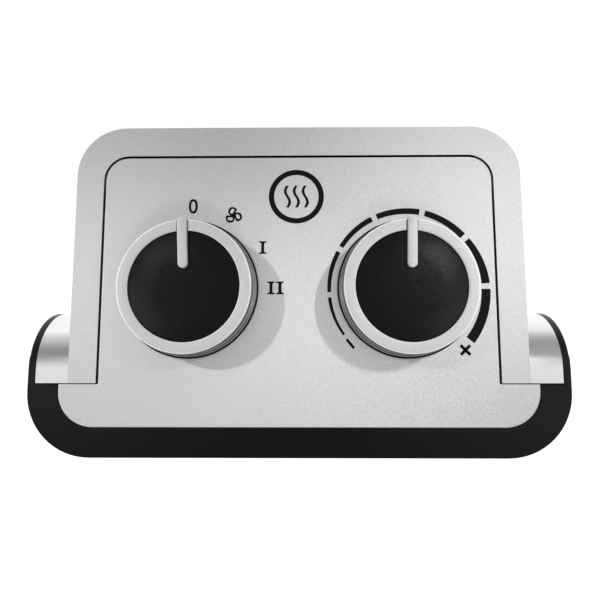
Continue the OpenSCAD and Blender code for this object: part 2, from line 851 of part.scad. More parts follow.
module selector_knob() at_knob(-1, selector_turn) knob();
module selector_inlay() at_knob(-1, selector_turn) inlay();
module selector_pointer() at_knob(-1, selector_turn) pointer();
module thermostat_knob() at_knob(1, thermostat_turn) knob();
module thermostat_inlay() at_knob(1, thermostat_turn) inlay();
module thermostat_pointer() at_knob(1, thermostat_turn) pointer();

module selector_shaft() color(steel) at_knob(-1, selector_turn) {
    translate([0, 0, cam_low - shaft_foot])
        cylinder(r = shaft_r, h = hub_low - cam_low + shaft_foot);
    flatted(shaft_r, shaft_flat, hub_low, shaft_top);
}

module switch_cam() color([0.92, 0.92, 0.88]) at_knob(-1, selector_turn)
    translate([0, 0, cam_low]) difference() {
        cylinder(r = cam_r, h = cam_h);
        translate([0, 0, -cut]) cylinder(r = shaft_r + fit / 2, h = cam_h + 2 * cut);
        for (a = [0:90:270]) rotate(a) translate([cam_r, 0, -cut])
            cylinder(r = notch_r, h = cam_h + 2 * cut);
    }

module rotary_switch() color([0.16, 0.15, 0.15]) at_knob(-1, 0) {
    difference() {
        union() {
            translate([0, 0, switch_top - switch_h]) linear_extrude(switch_h)
                round_rect(switch_w, switch_w, switch_corner_r);
            translate([0, 0, switch_top - cut])
                cylinder(r = bush_r, h = bush_h - switch_top + cut);
        }
        translate([0, 0, cam_low - stand])
            cylinder(r = cam_r + cam_room, h = cam_h + 2 * stand);
        translate([0, 0, cam_low - shaft_foot - cut])
            cylinder(r = shaft_r + run_clear, h = bush_h - cam_low + shaft_foot + 2 * cut);
    }
    for (i = [-1:1]) tab(i * tab_pitch, switch_top - switch_h - tab_l);
}

// Flat connector tab of length tab_l at x, with its lower end at z
module tab(x, z) {
    translate([x - tab_t / 2, -tab_w / 2, z]) cube([tab_t, tab_w, tab_l]);
}

module thermostat_shaft() color(steel) at_knob(1, thermostat_turn) {
    translate([0, 0, switch_top - spindle_l])
        cylinder(r = shaft_r, h = spindle_l - switch_top + hub_low);
    flatted(shaft_r, shaft_flat, hub_low, shaft_top);
}

module thermostat_body() color(steel) at_knob(1, 0) {
    base_z = switch_top - thermostat_t;
    difference() {
        union() {
            translate([-thermostat_w / 2, -thermostat_w / 2, base_z])
                cube([thermostat_w, thermostat_l, thermostat_t]);
            translate([0, 0, base_z]) cylinder(r = bush_r, h = bush_h - base_z);
            translate([-thermostat_w * 3 / 8, stack_y, base_z - stack_h])
                cube([thermostat_w * 3 / 4, stack_l, stack_h]);
        }
        translate([0, 0, base_z - cut])
            cylinder(r = shaft_r + run_clear, h = bush_h - base_z + 2 * cut);
        translate([-thermostat_w, stack_y - cut, bimetal_z - fit])
            cube([2 * thermostat_w, stack_l + cut - stack_wall, bimetal_t + 2 * fit]);
    }
}

module bimetal_blade() color(brass) at_knob(1, 0) {
    translate([-bimetal_w / 2, -thermostat_w / 2, bimetal_z])
        cube([bimetal_w, thermostat_w / 2 + stack_y + stack_l - stack_wall, bimetal_t]);
    translate([0, -thermostat_w / 4, bimetal_z - contact_t]) cylinder(r = contact_r, h = contact_t);
    translate([0, 0, bimetal_z + bimetal_t])
        cylinder(r = shaft_r / 2, h = switch_top - spindle_l - stand - bimetal_z - bimetal_t);
}

module bush_nuts() color(steel) for (s = [-1, 1]) at_knob(s, 0) difference() {
    cylinder(r = nut_w / 2, h = nut_h, $fn = 6);
    translate([0, 0, -cut]) cylinder(r = bush_r + fit / 2, h = nut_h + 2 * cut);
}

module fan_shroud() color([0.2, 0.2, 0.2]) {
    difference() {
        union() {
            block([-shroud_x, shroud_front_y, shroud_low_z],
                [shroud_x, shroud_back_y, shroud_high_z]);
            on_fan_axis(shroud_back_y - cut) cylinder(r = ring_r + shroud_t,
                h = ring_back_y - shroud_back_y + cut);
            at_housing_screws() translate([0, shroud_back_y - cut, 0]) rotate([-90, 0, 0])
                cylinder(r = boss_r, h = tube_end_y - fit - shroud_back_y + cut);
        }
        on_fan_axis(shroud_front_y - cut) cylinder(r = ring_r,
            h = ring_back_y - shroud_front_y + 2 * cut);
        at_housing_screws() translate([0, tube_end_y - screw_l, 0]) rotate([-90, 0, 0])
            cylinder(r = screw_r, h = screw_l + cut);
    }
}

module heat_duct() color(steel) {
    notch_h = electrode_t + 2 * lug_room;
    difference() {
        union() {
            reach(duct_front_y, duct_back_y) translate([0, fan_z]) difference() {
                square([duct_w + 2 * duct_t, duct_h + 2 * duct_t], center = true);
                square([duct_w, duct_h], center = true);
            }
            reach(duct_back_y - duct_t, duct_back_y) translate([0, fan_z]) difference() {
                square([duct_w + 2 * duct_flange_w, duct_h + 2 * duct_flange_w], center = true);
                square([duct_w, duct_h], center = true);
            }
        }
        at_lugs() translate([duct_w / 2 + duct_t / 2, 0, 0])
            cube([duct_t + 2 * cut, lug_w + 2 * lug_room, notch_h], center = true);
    }
}

// Height of the middle of heating bar i
function bar_z(i) = fan_z - stack_span / 2 + (i + 1) * bank_h + (i + 0.5) * heated_h;

// Middle of each electrode strip, one below and one above each heating bar
module at_lugs() {
    for (i = [0:bar_count - 1], s = [-1, 1])
        translate([0, element_y + element_d / 2, bar_z(i) + s * (bar_h + electrode_t) / 2])
            children();
}

module element_frame() color([0.9, 0.88, 0.8]) difference() {
    reach(element_y, element_y + element_d) translate([0, fan_z]) difference() {
        square([element_w, element_h], center = true);
        square([2 * stack_x, stack_span], center = true);
    }
    at_lugs() translate([stack_x + element_frame_t / 2, 0, 0])
        cube([element_frame_t + 2 * cut, lug_w + 2 * fit, electrode_t + 2 * fit], center = true);
}

// Corrugated sheet of height h along X
module corrugated(h) {
    half = (h - fin_t) / 2;
    n = floor(2 * (stack_x - fin_inset) / fin_pitch) * 2;
    step = fin_pitch / 2;
    x0 = -n * step / 2;
    low = [for (i = [0:n]) [x0 + i * step, (i % 2 == 0 ? -half : half) - fin_t / 2]];
    high = [for (i = [n:-1:0]) [x0 + i * step, (i % 2 == 0 ? -half : half) + fin_t / 2]];
    polygon(concat(low, high));
}

module heater_fins() color([0.8, 0.82, 0.84])
    for (i = [0:bar_count]) reach(element_y + fin_inset, element_y + fin_inset + fin_d)
        translate([0, fan_z - stack_span / 2 + (i + 0.5) * bank_h + i * heated_h])
            corrugated(bank_h);

module ptc_stones() color([0.45, 0.42, 0.4]) {
    stone_step = 2 * (stack_x - fin_inset) / stone_count;
    for (i = [0:bar_count - 1], j = [0:stone_count - 1])
        translate([(j - (stone_count - 1) / 2) * stone_step, element_y + element_d / 2, bar_z(i)])
            cube([stone_step - stone_gap, fin_d - 2 * stone_gap, bar_h], center = true);
}

module electrode_strips() color(brass) at_lugs() {
    cube([2 * (stack_x - fin_inset), fin_d - stone_gap, electrode_t], center = true);
    block([stack_x - lug_w, -lug_w / 2, -electrode_t / 2],
        [stack_x + 2 * lug_w, lug_w / 2, electrode_t / 2]);
}

module thermal_cutout() color([0.15, 0.15, 0.16])
    translate([cutout_x, element_y + element_d / 2, cutout_z]) {
        cylinder(r = cutout_r, h = cutout_low_h);
        cylinder(r = cutout_cap_r, h = cutout_h);
        for (s = [-1, 1]) tab(s * cutout_r / 2, cutout_h - rib_in);
    }

module thermal_fuse() color([0.85, 0.83, 0.78])
    translate([fuse_x, element_y + element_d / 2, cutout_z + fuse_r]) {
        rotate([0, 90, 0]) cylinder(r = fuse_r, h = fuse_l);
        for (x = [fuse_r, fuse_l - 2 * fuse_r]) translate([x, -fuse_r / 2, -fuse_r]) cube(fuse_r);
    }

// Places of the two screws that hold the motor on its bracket
module at_motor_screws() {
    for (s = [-1, 1]) translate([s * motor_screw_x, 0, 0]) children();
}

module motor_bracket() color([0.2, 0.2, 0.2]) on_fan_axis(ring_back_y + fit) difference() {
    union() {
        difference() {
            cylinder(r = ring_r + shroud_t, h = bracket_t - fit);
            translate([0, 0, -cut]) cylinder(r = ring_r - boss_in, h = bracket_t + 2 * cut);
        }
        cylinder(r = motor_r + boss_in, h = bracket_t - fit);
        for (a = [90, 210, 330]) rotate(a) translate([motor_r, -spoke_w / 2, 0])
            cube([ring_r - motor_r, spoke_w, bracket_t - fit]);
    }
    translate([0, 0, -cut]) cylinder(r = motor_nose_r, h = bracket_t + 2 * cut);
    at_motor_screws() translate([0, 0, -cut])
        cylinder(r = screw_r + shank_clear, h = bracket_t + 2 * cut);
}

module motor_can() color(steel) on_fan_axis(motor_front_y) difference() {
    union() {
        cylinder(r = motor_r, h = motor_l);
        cylinder(r = motor_nose_r, h = motor_l + motor_nose_l);
    }
    translate([0, 0, motor_wall]) cylinder(r = motor_r - motor_wall, h = motor_l - 2 * motor_wall);
    translate([0, 0, -cut])
        cylinder(r = motor_bush_r + fit / 2, h = motor_l + motor_nose_l + 2 * cut);
    at_motor_screws() translate([0, 0, -cut]) cylinder(r = screw_r, h = motor_wall + 2 * cut);
}

module motor_magnets() color([0.3, 0.3, 0.32])
    on_fan_axis(motor_front_y + motor_bush_l + magnet_set) difference() {
        cylinder(r = motor_r - motor_wall - fit, h = motor_l - 2 * (motor_bush_l + magnet_set));
        translate([0, 0, -cut]) cylinder(r = magnet_in_r, h = motor_l);
        at_motor_screws() translate([0, 0, -cut]) cylinder(r = screw_r + 2 * head_clear, h = motor_l);
    }

module motor_bushes() color(brass)
    for (y = [motor_front_y, motor_back_y + motor_nose_l - motor_bush_l]) on_fan_axis(y)
        difference() {
            cylinder(r = motor_bush_r, h = motor_bush_l);
            translate([0, 0, -cut])
                cylinder(r = motor_shaft_r + run_clear, h = motor_bush_l + 2 * cut);
        }

module motor_rotor() color([0.5, 0.35, 0.25])
    on_fan_axis(motor_front_y + motor_bush_l + magnet_set + stand) difference() {
        cylinder(r = magnet_in_r - air_gap, h = motor_l - 2 * (motor_bush_l + magnet_set + stand));
        translate([0, 0, -cut]) cylinder(r = motor_shaft_r + fit / 2, h = motor_l);
        for (a = [0:72:288]) rotate(a) translate([magnet_in_r, 0, -cut])
            cylinder(r = winding_slot_r, h = motor_l);
    }

module motor_shaft() color(steel) on_fan_axis(fan_front_y + fan_hub_t)
    cylinder(r = motor_shaft_r, h = motor_back_y + motor_nose_l - fan_front_y - fan_hub_t);

module fan_impeller() color([0.55, 0.56, 0.58]) on_fan_axis(fan_front_y) {
    difference() {
        cylinder(r = hub_r, h = fan_d);
        translate([0, 0, fan_hub_t]) difference() {
            cylinder(r = hub_r - fan_hub_t, h = fan_d);
            cylinder(r = motor_shaft_r + shaft_boss_t, h = fan_d - fan_hub_t);
        }
        translate([0, 0, fan_hub_t - fit]) cylinder(r = motor_shaft_r + fit / 2, h = fan_d);
    }
    intersection() {
        for (i = [0:blade_count - 1]) rotate(i * 360 / blade_count)
            translate([hub_r - boss_in, 0, fan_d / 2]) rotate([blade_angle, 0, 0])
                translate([0, -fan_d * 3 / 4, -blade_t / 2]) cube([fan_r, fan_d * 3 / 2, blade_t]);
        difference() {
            cylinder(r = fan_r, h = fan_d);
            translate([0, 0, -cut]) cylinder(r = hub_r - boss_in, h = fan_d + 2 * cut);
        }
    }
}

module motor_screws() color(steel) on_fan_axis(ring_back_y + fit) at_motor_screws() {
    translate([0, 0, -motor_screw_head_h])
        cylinder(r = motor_screw_head_r, h = motor_screw_head_h);
    cylinder(r = screw_r, h = bracket_t - fit + 2 * motor_wall);
}

module control_baffle() color([0.85, 0.82, 0.74]) {
    depth_y = back_y - wall - fit;
    difference() {
        block([fit + wall - rear_x, shroud_front_y, baffle_z],
            [rear_x - wall - fit, depth_y, baffle_z + baffle_t]);
        for (s = [-1, 1]) translate([s * (rear_x - wall), depth_y, baffle_z - cut])
            cylinder(r = rear_corner_r, h = baffle_t + 2 * cut);
    }
}

// Axes of the three clamps along +Y, from the block's front
module at_clamps(y) {
    for (i = [-1:1]) translate([terminal_x + i * terminal_pitch, foot_rear_y + y,
        base_top_z + clamp_z]) children();
}

module terminal_block() color([0.93, 0.92, 0.88]) difference() {
    translate([terminal_x - terminal_w / 2, foot_rear_y - terminal_d / 2, base_top_z])
        cube([terminal_w, terminal_d, terminal_h]);
    at_clamps(-terminal_d / 2 - cut) rotate([-90, 0, 0])
        cylinder(r = clamp_r + fit, h = terminal_d + 2 * cut);
    at_clamps(0) cylinder(r = driver_r, h = terminal_h - clamp_z + cut);
}

module terminal_clamps() color(brass) at_clamps(clamp_wall - terminal_d / 2) rotate([-90, 0, 0])
    difference() {
        cylinder(r = clamp_r, h = terminal_d - 2 * clamp_wall);
        translate([0, 0, -cut]) cylinder(r = clamp_r - clamp_wall, h = terminal_d);
    }

module cord_gland() color([0.12, 0.12, 0.12]) translate([gland_x, 0, gland_z]) difference() {
    union() {
        translate([0, back_y - gland_l, 0]) rotate([-90, 0, 0])
            cylinder(r = gland_r, h = gland_l);
        translate([0, back_y - wall - fit - gland_flange_t, 0]) rotate([-90, 0, 0])
            cylinder(r = gland_flange_r, h = gland_flange_t);
    }
    translate([0, back_y - gland_l - cut, 0]) rotate([-90, 0, 0])
        cylinder(r = cord_r + fit, h = gland_l + 2 * cut);
}

module tip_switch_case() color([0.9, 0.9, 0.88]) translate([0, tip_y, 0]) difference() {
    union() {
        translate([0, 0, base_top_z])
            cylinder(r = case_in_r + case_wall, h = case_top_z + case_wall - base_top_z);
        translate([-micro_l / 2 - case_wall, -micro_w / 2 - case_wall / 2, case_top_z])
            cube([micro_l + 2 * case_wall, micro_w + case_wall, case_wall]);
    }
    translate([0, 0, base_top_z - cut])
        cylinder(r = case_in_r, h = case_top_z - base_top_z + cut);
    translate([0, 0, case_top_z - cut]) cylinder(r = pin_r + run_clear, h = case_wall + 2 * cut);
}

module tip_plunger() color([0.75, 0.1, 0.1]) translate([0, tip_y, 0]) {
    cylinder(r = plunger_r, h = collar_low_z + collar_h / 2);
    translate([0, 0, collar_low_z]) cylinder(r = collar_r, h = collar_h);
    cylinder(r = pin_r, h = micro_z - stand);
}

module tip_spring() color(steel)
    translate([0, tip_y, collar_low_z + collar_h]) difference() {
        cylinder(r = spring_out_r, h = case_top_z - collar_low_z - collar_h);
        translate([0, 0, -cut]) cylinder(r = spring_out_r - spring_t, h = case_top_z);
    }

module micro_switch() color([0.14, 0.14, 0.15]) translate([0, tip_y, 0]) {
    leg_z = case_top_z + case_wall;
    translate([-micro_l / 2, -micro_w / 2, micro_z]) cube([micro_l, micro_w, micro_h]);
    for (s = [-1, 1])
        translate([(s * (micro_l - micro_leg_w) - micro_leg_w) / 2, -micro_w / 2, leg_z])
            cube([micro_leg_w, micro_w, micro_z - leg_z + cut]);
    for (i = [-1:1]) translate([i * micro_pitch - tab_t / 2, -tab_w / 4, micro_z + micro_h])
        cube([tab_t, tab_w / 2, tab_w]);
}

rear_housing();
control_panel();
front_bezel();
side_cap_left();
side_cap_right();
outlet_grille();
guard_mesh();
base_plate();
rubber_feet();
intake_grille();
dust_filter();
filter_frame();
grip_recess();
housing_screws();
base_screws();
selector_knob();
selector_inlay();
selector_pointer();
selector_shaft();
switch_cam();
rotary_switch();
thermostat_knob();
thermostat_inlay();
thermostat_pointer();
thermostat_shaft();
thermostat_body();
bimetal_blade();
bush_nuts();
fan_shroud();
heat_duct();
element_frame();
heater_fins();
ptc_stones();
electrode_strips();
thermal_cutout();
thermal_fuse();
motor_bracket();
motor_can();
motor_magnets();
motor_bushes();
motor_rotor();
motor_shaft();
fan_impeller();
motor_screws();
control_baffle();
terminal_block();
terminal_clamps();
cord_gland();
tip_switch_case();
tip_plunger();
tip_spring();
micro_switch();
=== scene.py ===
import json
import math

import bmesh
import bpy
from mathutils import Matrix, Vector


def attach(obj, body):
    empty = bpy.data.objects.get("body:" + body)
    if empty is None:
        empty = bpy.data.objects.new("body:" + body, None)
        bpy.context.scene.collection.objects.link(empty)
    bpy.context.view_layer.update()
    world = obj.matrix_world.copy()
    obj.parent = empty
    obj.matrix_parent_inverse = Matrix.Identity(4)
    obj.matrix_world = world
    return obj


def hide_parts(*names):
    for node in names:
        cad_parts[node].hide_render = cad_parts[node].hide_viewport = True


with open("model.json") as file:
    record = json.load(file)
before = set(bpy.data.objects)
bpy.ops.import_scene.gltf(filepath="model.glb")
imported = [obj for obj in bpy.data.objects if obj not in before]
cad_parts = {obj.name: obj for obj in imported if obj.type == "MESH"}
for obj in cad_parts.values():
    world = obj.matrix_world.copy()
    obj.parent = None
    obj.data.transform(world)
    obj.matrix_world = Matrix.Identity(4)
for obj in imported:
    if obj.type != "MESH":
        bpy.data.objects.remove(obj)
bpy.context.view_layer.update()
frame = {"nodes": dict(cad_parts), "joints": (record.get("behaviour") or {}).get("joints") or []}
nodes = frame["nodes"]

# Rear housing: the silver shell round the back, with the U-shaped rim and the two rolled shoulders.
# Injection-moulded ABS, sprayed with a satin silver lacquer full of fine aluminium flake; screws from
# below hold it to the base. A dark band is painted along the rim's top edge as a painted dark reflection.
# The spray doesn't reach the inside, which stays bare black; in the gap round the panel that black is
# also painted shade.
# Sizes are in mm; shares of metal, roughness and shade run from 0 to 1
SHELL_EDGE = 0.45
RIM_HALF = 75.3
RIM_DROP = 0.05
SILVER = (0.75, 0.75, 0.75)
SILVER_METAL = 0.5
SILVER_ROUGH = 0.42
SILVER_FLAKE = 0.28
SILVER_SHADE = 0.07
FLANK_SILVER = (0.86, 0.86, 0.86)
WALL_SILVER = (0.56, 0.56, 0.56)
PAINTED_DARK_EDGE = (0.2, 0.2, 0.2)
BARE = (0.012, 0.012, 0.012)
# Limits of the bare black inside of the shell and of the walls of the panel's opening;
# on these walls the black is also painted shade for the gap round the panel
HOUSING_BARE = [dict(x=72.9, y=34, z=238.7), dict(x=54, y=52.9, z=238.7), dict(x=60, y=46, z=240.7)]


def mm(value):
    """Millimetres as metres."""
    return value / 1000


def extent(name):
    """The lowest and the highest x, y and z of a CAD node, in mm."""
    points = [nodes[name].matrix_world @ vertex.co for vertex in nodes[name].data.vertices]
    return [[1000 * pick(point[i] for point in points) for i in range(3)] for pick in (min, max)]


EDGE_ANGLE = 32


def soften(piece, edge, segments=3, flats=True):
    """Rounds a piece's edges that are sharper than EDGE_ANGLE by edge mm and evens out its shading."""
    weld = piece.modifiers.new("weld", "WELD")
    weld.merge_threshold = mm(0.001)
    if flats:
        merge = piece.modifiers.new("flats", "DECIMATE")
        merge.decimate_type = "DISSOLVE"
        merge.angle_limit = math.radians(0.4)
    rim = piece.modifiers.new("edge", "BEVEL")
    rim.width = mm(edge)
    rim.segments = segments
    rim.limit_method = "ANGLE"
    rim.angle_limit = math.radians(EDGE_ANGLE)
    rim.miter_outer = "MITER_ARC"
    shade = piece.modifiers.new("shade", "WEIGHTED_NORMAL")
    shade.keep_sharp = True
    shade.weight = 80


def new_finish(name):
    """An empty material, its node tree and its shader."""
    finish = bpy.data.materials.new(name)
    finish.use_nodes = True
    return finish, finish.node_tree, finish.node_tree.nodes["Principled BSDF"]


def dress(finish, *names):
    """Gives CAD nodes a finish."""
    for name in names:
        nodes[name].data.materials.clear()
        nodes[name].data.materials.append(finish)


def new_effect(name, inputs, outputs):
    """A shader node group with named sockets, its tree, its input node and its output node."""
    tree = bpy.data.node_groups.new(name, "ShaderNodeTree")
    for label, kind, value in inputs:
        socket = tree.interface.new_socket(label, in_out="INPUT", socket_type=kind)
        socket.default_value = value
    for label, kind in outputs:
        tree.interface.new_socket(label, in_out="OUTPUT", socket_type=kind)
    return tree, tree.nodes.new("NodeGroupInput"), tree.nodes.new("NodeGroupOutput")


def add_effect(tree, effect, amounts):
    """Places a node group in a material with amounts of its own."""
    node = tree.nodes.new("ShaderNodeGroup")
    node.node_tree = effect
    for label, amount in amounts.items():
        node.inputs[label].default_value = amount
    return node


def feed(tree, socket, value):
    """Links a socket to another one, or sets it to a number, vector or colour."""
    if isinstance(value, bpy.types.NodeSocket):
        tree.links.new(value, socket)
    elif value is not None:
        socket.default_value = value


def math_node(tree, operation, a, b=None, c=None):
    """A Math node whose inputs are sockets or numbers."""
    node = tree.nodes.new("ShaderNodeMath")
    node.operation = operation
    for socket, value in zip(node.inputs, (a, b, c)):
        feed(tree, socket, value)
    return node.outputs[0]


def vector_node(tree, operation, a, b=None, scale=None):
    """A Vector Math node whose inputs are sockets or vectors."""
    node = tree.nodes.new("ShaderNodeVectorMath")
    node.operation = operation
    for socket, value in zip(node.inputs, (a, b)):
        feed(tree, socket, value)
    if scale is not None:
        feed(tree, node.inputs["Scale"], scale)
    return node.outputs[0]


# Places of a Mix node's sockets when it mixes colours
MIX_MASK, MIX_UNDER, MIX_OVER, MIX_RESULT = 0, 6, 7, 2


def covered(tree, under, over, mask):
    """The colour under, with the colour over it where the mask is 1."""
    node = tree.nodes.new("ShaderNodeMix")
    node.data_type = "RGBA"
    feed(tree, node.inputs[MIX_MASK], mask)
    for index, colour in ((MIX_UNDER, under), (MIX_OVER, over)):
        feed(tree, node.inputs[index], [*colour, 1] if isinstance(colour, (tuple, list)) else colour)
    return node.outputs[MIX_RESULT]


def varied(tree, colour, tint, amount):
    """The colour, made darker and lighter by tint, which runs from 0 to 1, by up to amount."""
    darker = [c * (1 - amount) for c in colour]
    lighter = [min(1, c * (1 + amount)) for c in colour]
    return covered(tree, darker, lighter, tint)


def clouded(tree, effect, rough, drift):
    """The roughness, which drifts up and down in soft clouds."""
    return math_node(tree, "MULTIPLY_ADD", effect.outputs["Cloud"], drift, rough - drift / 2)


def changed(tree, mask, outside, inside):
    """A value that goes from one number to another with the mask."""
    return math_node(tree, "MULTIPLY_ADD", mask, inside - outside, outside)


def within(tree, place, x=None, y=None, z=None):
    """A mask of what lies nearer than x mm to the middle, in front of y mm and below z mm."""
    mask = None
    for axis, limit in (("X", x), ("Y", y), ("Z", z)):
        if limit is not None:
            along = place.outputs[axis]
            if axis == "X":
                along = math_node(tree, "ABSOLUTE", along)
            inside = math_node(tree, "LESS_THAN", along, mm(limit))
            mask = math_node(tree, "MULTIPLY", mask, inside) if mask else inside
    return mask


# Flake: each cell of the lacquer is one flake, tilted its own way and a little lighter or darker
flake, flake_in, flake_out = new_effect(
    "lacquer_flake",
    [("Size mm", "NodeSocketFloat", 0.3), ("Tilt", "NodeSocketFloat", 0.1)],
    [("Shade", "NodeSocketFloat"), ("Cloud", "NodeSocketFloat"), ("Normal", "NodeSocketVector")])
place = flake.nodes.new("ShaderNodeTexCoord")
cells = flake.nodes.new("ShaderNodeTexVoronoi")
flake.links.new(place.outputs["Object"], cells.inputs["Vector"])
flake.links.new(math_node(flake, "DIVIDE", 1000, flake_in.outputs["Size mm"]), cells.inputs["Scale"])
surface = flake.nodes.new("ShaderNodeNewGeometry")
lean = vector_node(flake, "SUBTRACT", cells.outputs["Color"], (0.5, 0.5, 0.5))
lean = vector_node(flake, "SCALE", lean, scale=flake_in.outputs["Tilt"])
lean = vector_node(flake, "ADD", lean, surface.outputs["Normal"])
flake.links.new(vector_node(flake, "NORMALIZE", lean), flake_out.inputs["Normal"])
split = flake.nodes.new("ShaderNodeSeparateColor")
flake.links.new(cells.outputs["Color"], split.inputs[0])
flake.links.new(split.outputs[0], flake_out.inputs["Shade"])
cloud = flake.nodes.new("ShaderNodeTexNoise")
cloud.inputs["Scale"].default_value = 45
cloud.inputs["Detail"].default_value = 2
flake.links.new(place.outputs["Object"], cloud.inputs["Vector"])
flake.links.new(cloud.outputs["Fac"], flake_out.inputs["Cloud"])

FLAT_FLAKE = 0.2
SILVER_DRIFT = 0.08
TURN_DEPTH = 25
PAINTED_EDGE_HEIGHT = 0.5


def lacquered(name, colour, metal, rough, flake_mm, tilt, shade, side=None, edge=None, bare=()):
    """Silver lacquer with flake over black plastic. side is the glossier skin below its top and outside
    its half width, with another colour below its turn; edge is a band under the top painted in its own
    colour, a painted dark reflection on the rim and a painted highlight on the knobs; bare are the limits
    of what the spray doesn't reach, whose black also paints shade in gaps. All in mm."""
    finish, tree, shader = new_finish(name)
    effect = add_effect(tree, flake, {"Size mm": flake_mm, "Tilt": tilt})
    shown = varied(tree, colour, effect.outputs["Shade"], shade)
    spread = clouded(tree, effect, rough, SILVER_DRIFT)
    share = metal
    coords = tree.nodes.new("ShaderNodeTexCoord")
    place = tree.nodes.new("ShaderNodeSeparateXYZ")
    tree.links.new(coords.outputs["Object"], place.inputs[0])
    if side:
        flank = within(tree, place, z=side["top"])
        if "half" in side:
            beside = math_node(tree, "SUBTRACT", 1, within(tree, place, x=side["half"]))
            flank = math_node(tree, "MAXIMUM", beside, flank)
        shown = covered(tree, shown, side["colour"], flank)
        if "turn" in side:
            low = tree.nodes.new("ShaderNodeMapRange")
            low.interpolation_type = "SMOOTHSTEP"
            low.inputs["From Min"].default_value = mm(side["turn"])
            low.inputs["From Max"].default_value = mm(side["turn"] - TURN_DEPTH)
            tree.links.new(place.outputs["Z"], low.inputs["Value"])
            wall = math_node(tree, "MULTIPLY", flank, low.outputs[0])
            shown = covered(tree, shown, side["low_colour"], wall)
        spread = math_node(tree, "ADD", spread, changed(tree, flank, 0, side["rough"] - rough))
        share = changed(tree, flank, metal, side["metal"])
        tree.links.new(changed(tree, flank, tilt, tilt * FLAT_FLAKE), effect.inputs["Tilt"])
    if edge:
        # Painted band under the top edge: painted shade where its colour is dark, a painted highlight where
        # light
        under = within(tree, place, x=edge.get("half"), z=edge["top"])
        above = math_node(tree, "GREATER_THAN", place.outputs["Z"], mm(edge["top"] - PAINTED_EDGE_HEIGHT))
        shown = covered(tree, shown, edge["colour"], math_node(tree, "MULTIPLY", under, above))
    mask = None
    for limits in bare:
        more = within(tree, place, **limits)
        mask = math_node(tree, "MAXIMUM", mask, more) if mask else more
    if mask:
        shown = covered(tree, shown, BARE, mask)
        share = math_node(tree, "MULTIPLY", share, math_node(tree, "SUBTRACT", 1, mask))
    tree.links.new(shown, shader.inputs["Base Color"])
    tree.links.new(spread, shader.inputs["Roughness"])
    tree.links.new(effect.outputs["Normal"], shader.inputs["Normal"])
    feed(tree, shader.inputs["Metallic"], share)
    return finish


rim_top = extent("rear_housing")[1][2] - RIM_DROP
housing_lacquer = lacquered(
    "housing_lacquer", SILVER, SILVER_METAL, SILVER_ROUGH, SILVER_FLAKE, tilt=0.05, shade=SILVER_SHADE,
    side=dict(top=rim_top, half=RIM_HALF, colour=FLANK_SILVER, metal=0.9, rough=0.24,
              low_colour=WALL_SILVER, turn=222),
    # The rim's dark edge colour is painted shade, a painted dark reflection along its top edge
    edge=dict(top=rim_top, half=RIM_HALF, colour=PAINTED_DARK_EDGE),
    bare=HOUSING_BARE)
dress(housing_lacquer, "rear_housing")
soften(nodes["rear_housing"], edge=SHELL_EDGE)

# Control panel: the silver T-shaped plate that lies flush in the rim, with a thick pad under each knob.
# A separate ABS moulding in the same lacquer, glued down on the ledge; its sides stay bare black,
# and that black is also painted shade for the gap round the panel.
PANEL_EDGE = 0.35
PAINT_DEPTH = 0.4
panel_top = extent("control_panel")[1][2]
panel_lacquer = lacquered("panel_lacquer", SILVER, SILVER_METAL, SILVER_ROUGH, SILVER_FLAKE, tilt=0.1,
                          shade=SILVER_SHADE, bare=[dict(z=panel_top - PAINT_DEPTH)])
dress(panel_lacquer, "control_panel")
soften(nodes["control_panel"], edge=PANEL_EDGE)

# Front bezel: the black shell of the front, with a thin arm on each side that reaches back to its cap.
# Black ABS with a fine satin grain, hooked into the silver housing along the parting line.
BEZEL_EDGE = 0.4
MOULD_DRIFT = 0.1
grain, grain_in, grain_out = new_effect(
    "mould_grain",
    [("Size mm", "NodeSocketFloat", 0.5), ("Depth mm", "NodeSocketFloat", 0.01)],
    [("Shade", "NodeSocketFloat"), ("Cloud", "NodeSocketFloat"), ("Normal", "NodeSocketVector")])
place = grain.nodes.new("ShaderNodeTexCoord")
pits = grain.nodes.new("ShaderNodeTexNoise")
pits.inputs["Detail"].default_value = 3
grain.links.new(place.outputs["Object"], pits.inputs["Vector"])
grain.links.new(math_node(grain, "DIVIDE", 1000, grain_in.outputs["Size mm"]), pits.inputs["Scale"])
relief = grain.nodes.new("ShaderNodeBump")
relief.inputs["Strength"].default_value = 1
grain.links.new(math_node(grain, "DIVIDE", grain_in.outputs["Depth mm"], 1000), relief.inputs["Distance"])
grain.links.new(pits.outputs["Fac"], relief.inputs["Height"])
grain.links.new(relief.outputs["Normal"], grain_out.inputs["Normal"])
grain.links.new(pits.outputs["Fac"], grain_out.inputs["Shade"])
cloud = grain.nodes.new("ShaderNodeTexNoise")
cloud.inputs["Scale"].default_value = 60
cloud.inputs["Detail"].default_value = 2
grain.links.new(place.outputs["Object"], cloud.inputs["Vector"])
grain.links.new(cloud.outputs["Fac"], grain_out.inputs["Cloud"])


def moulded(name, colour, rough, grain_mm=0.5, depth=0.01, shade=0.12, metal=0.0, gloss=0.5, facet=0.0):
    """Grained plastic, rubber, ceramic or metal as it comes from the mould or the mill. facet tilts the
    grain's cells as the lacquer's flakes are tilted, which makes a highlight sparkle."""
    finish, tree, shader = new_finish(name)
    effect = add_effect(tree, grain, {"Size mm": grain_mm, "Depth mm": depth})
    tilted = add_effect(tree, flake, {"Size mm": grain_mm, "Tilt": facet}) if facet else effect
    tree.links.new(varied(tree, colour, effect.outputs["Shade"], shade), shader.inputs["Base Color"])
    tree.links.new(clouded(tree, effect, rough, MOULD_DRIFT), shader.inputs["Roughness"])
    tree.links.new(tilted.outputs["Normal"], shader.inputs["Normal"])
    shader.inputs["Metallic"].default_value = metal
    shader.inputs["Specular IOR Level"].default_value = gloss
    return finish


black = moulded("black_satin", (0.003, 0.003, 0.003), rough=0.36, grain_mm=0.6, depth=0.006, gloss=0.34)
dress(black, "front_bezel")
soften(nodes["front_bezel"], edge=BEZEL_EDGE)

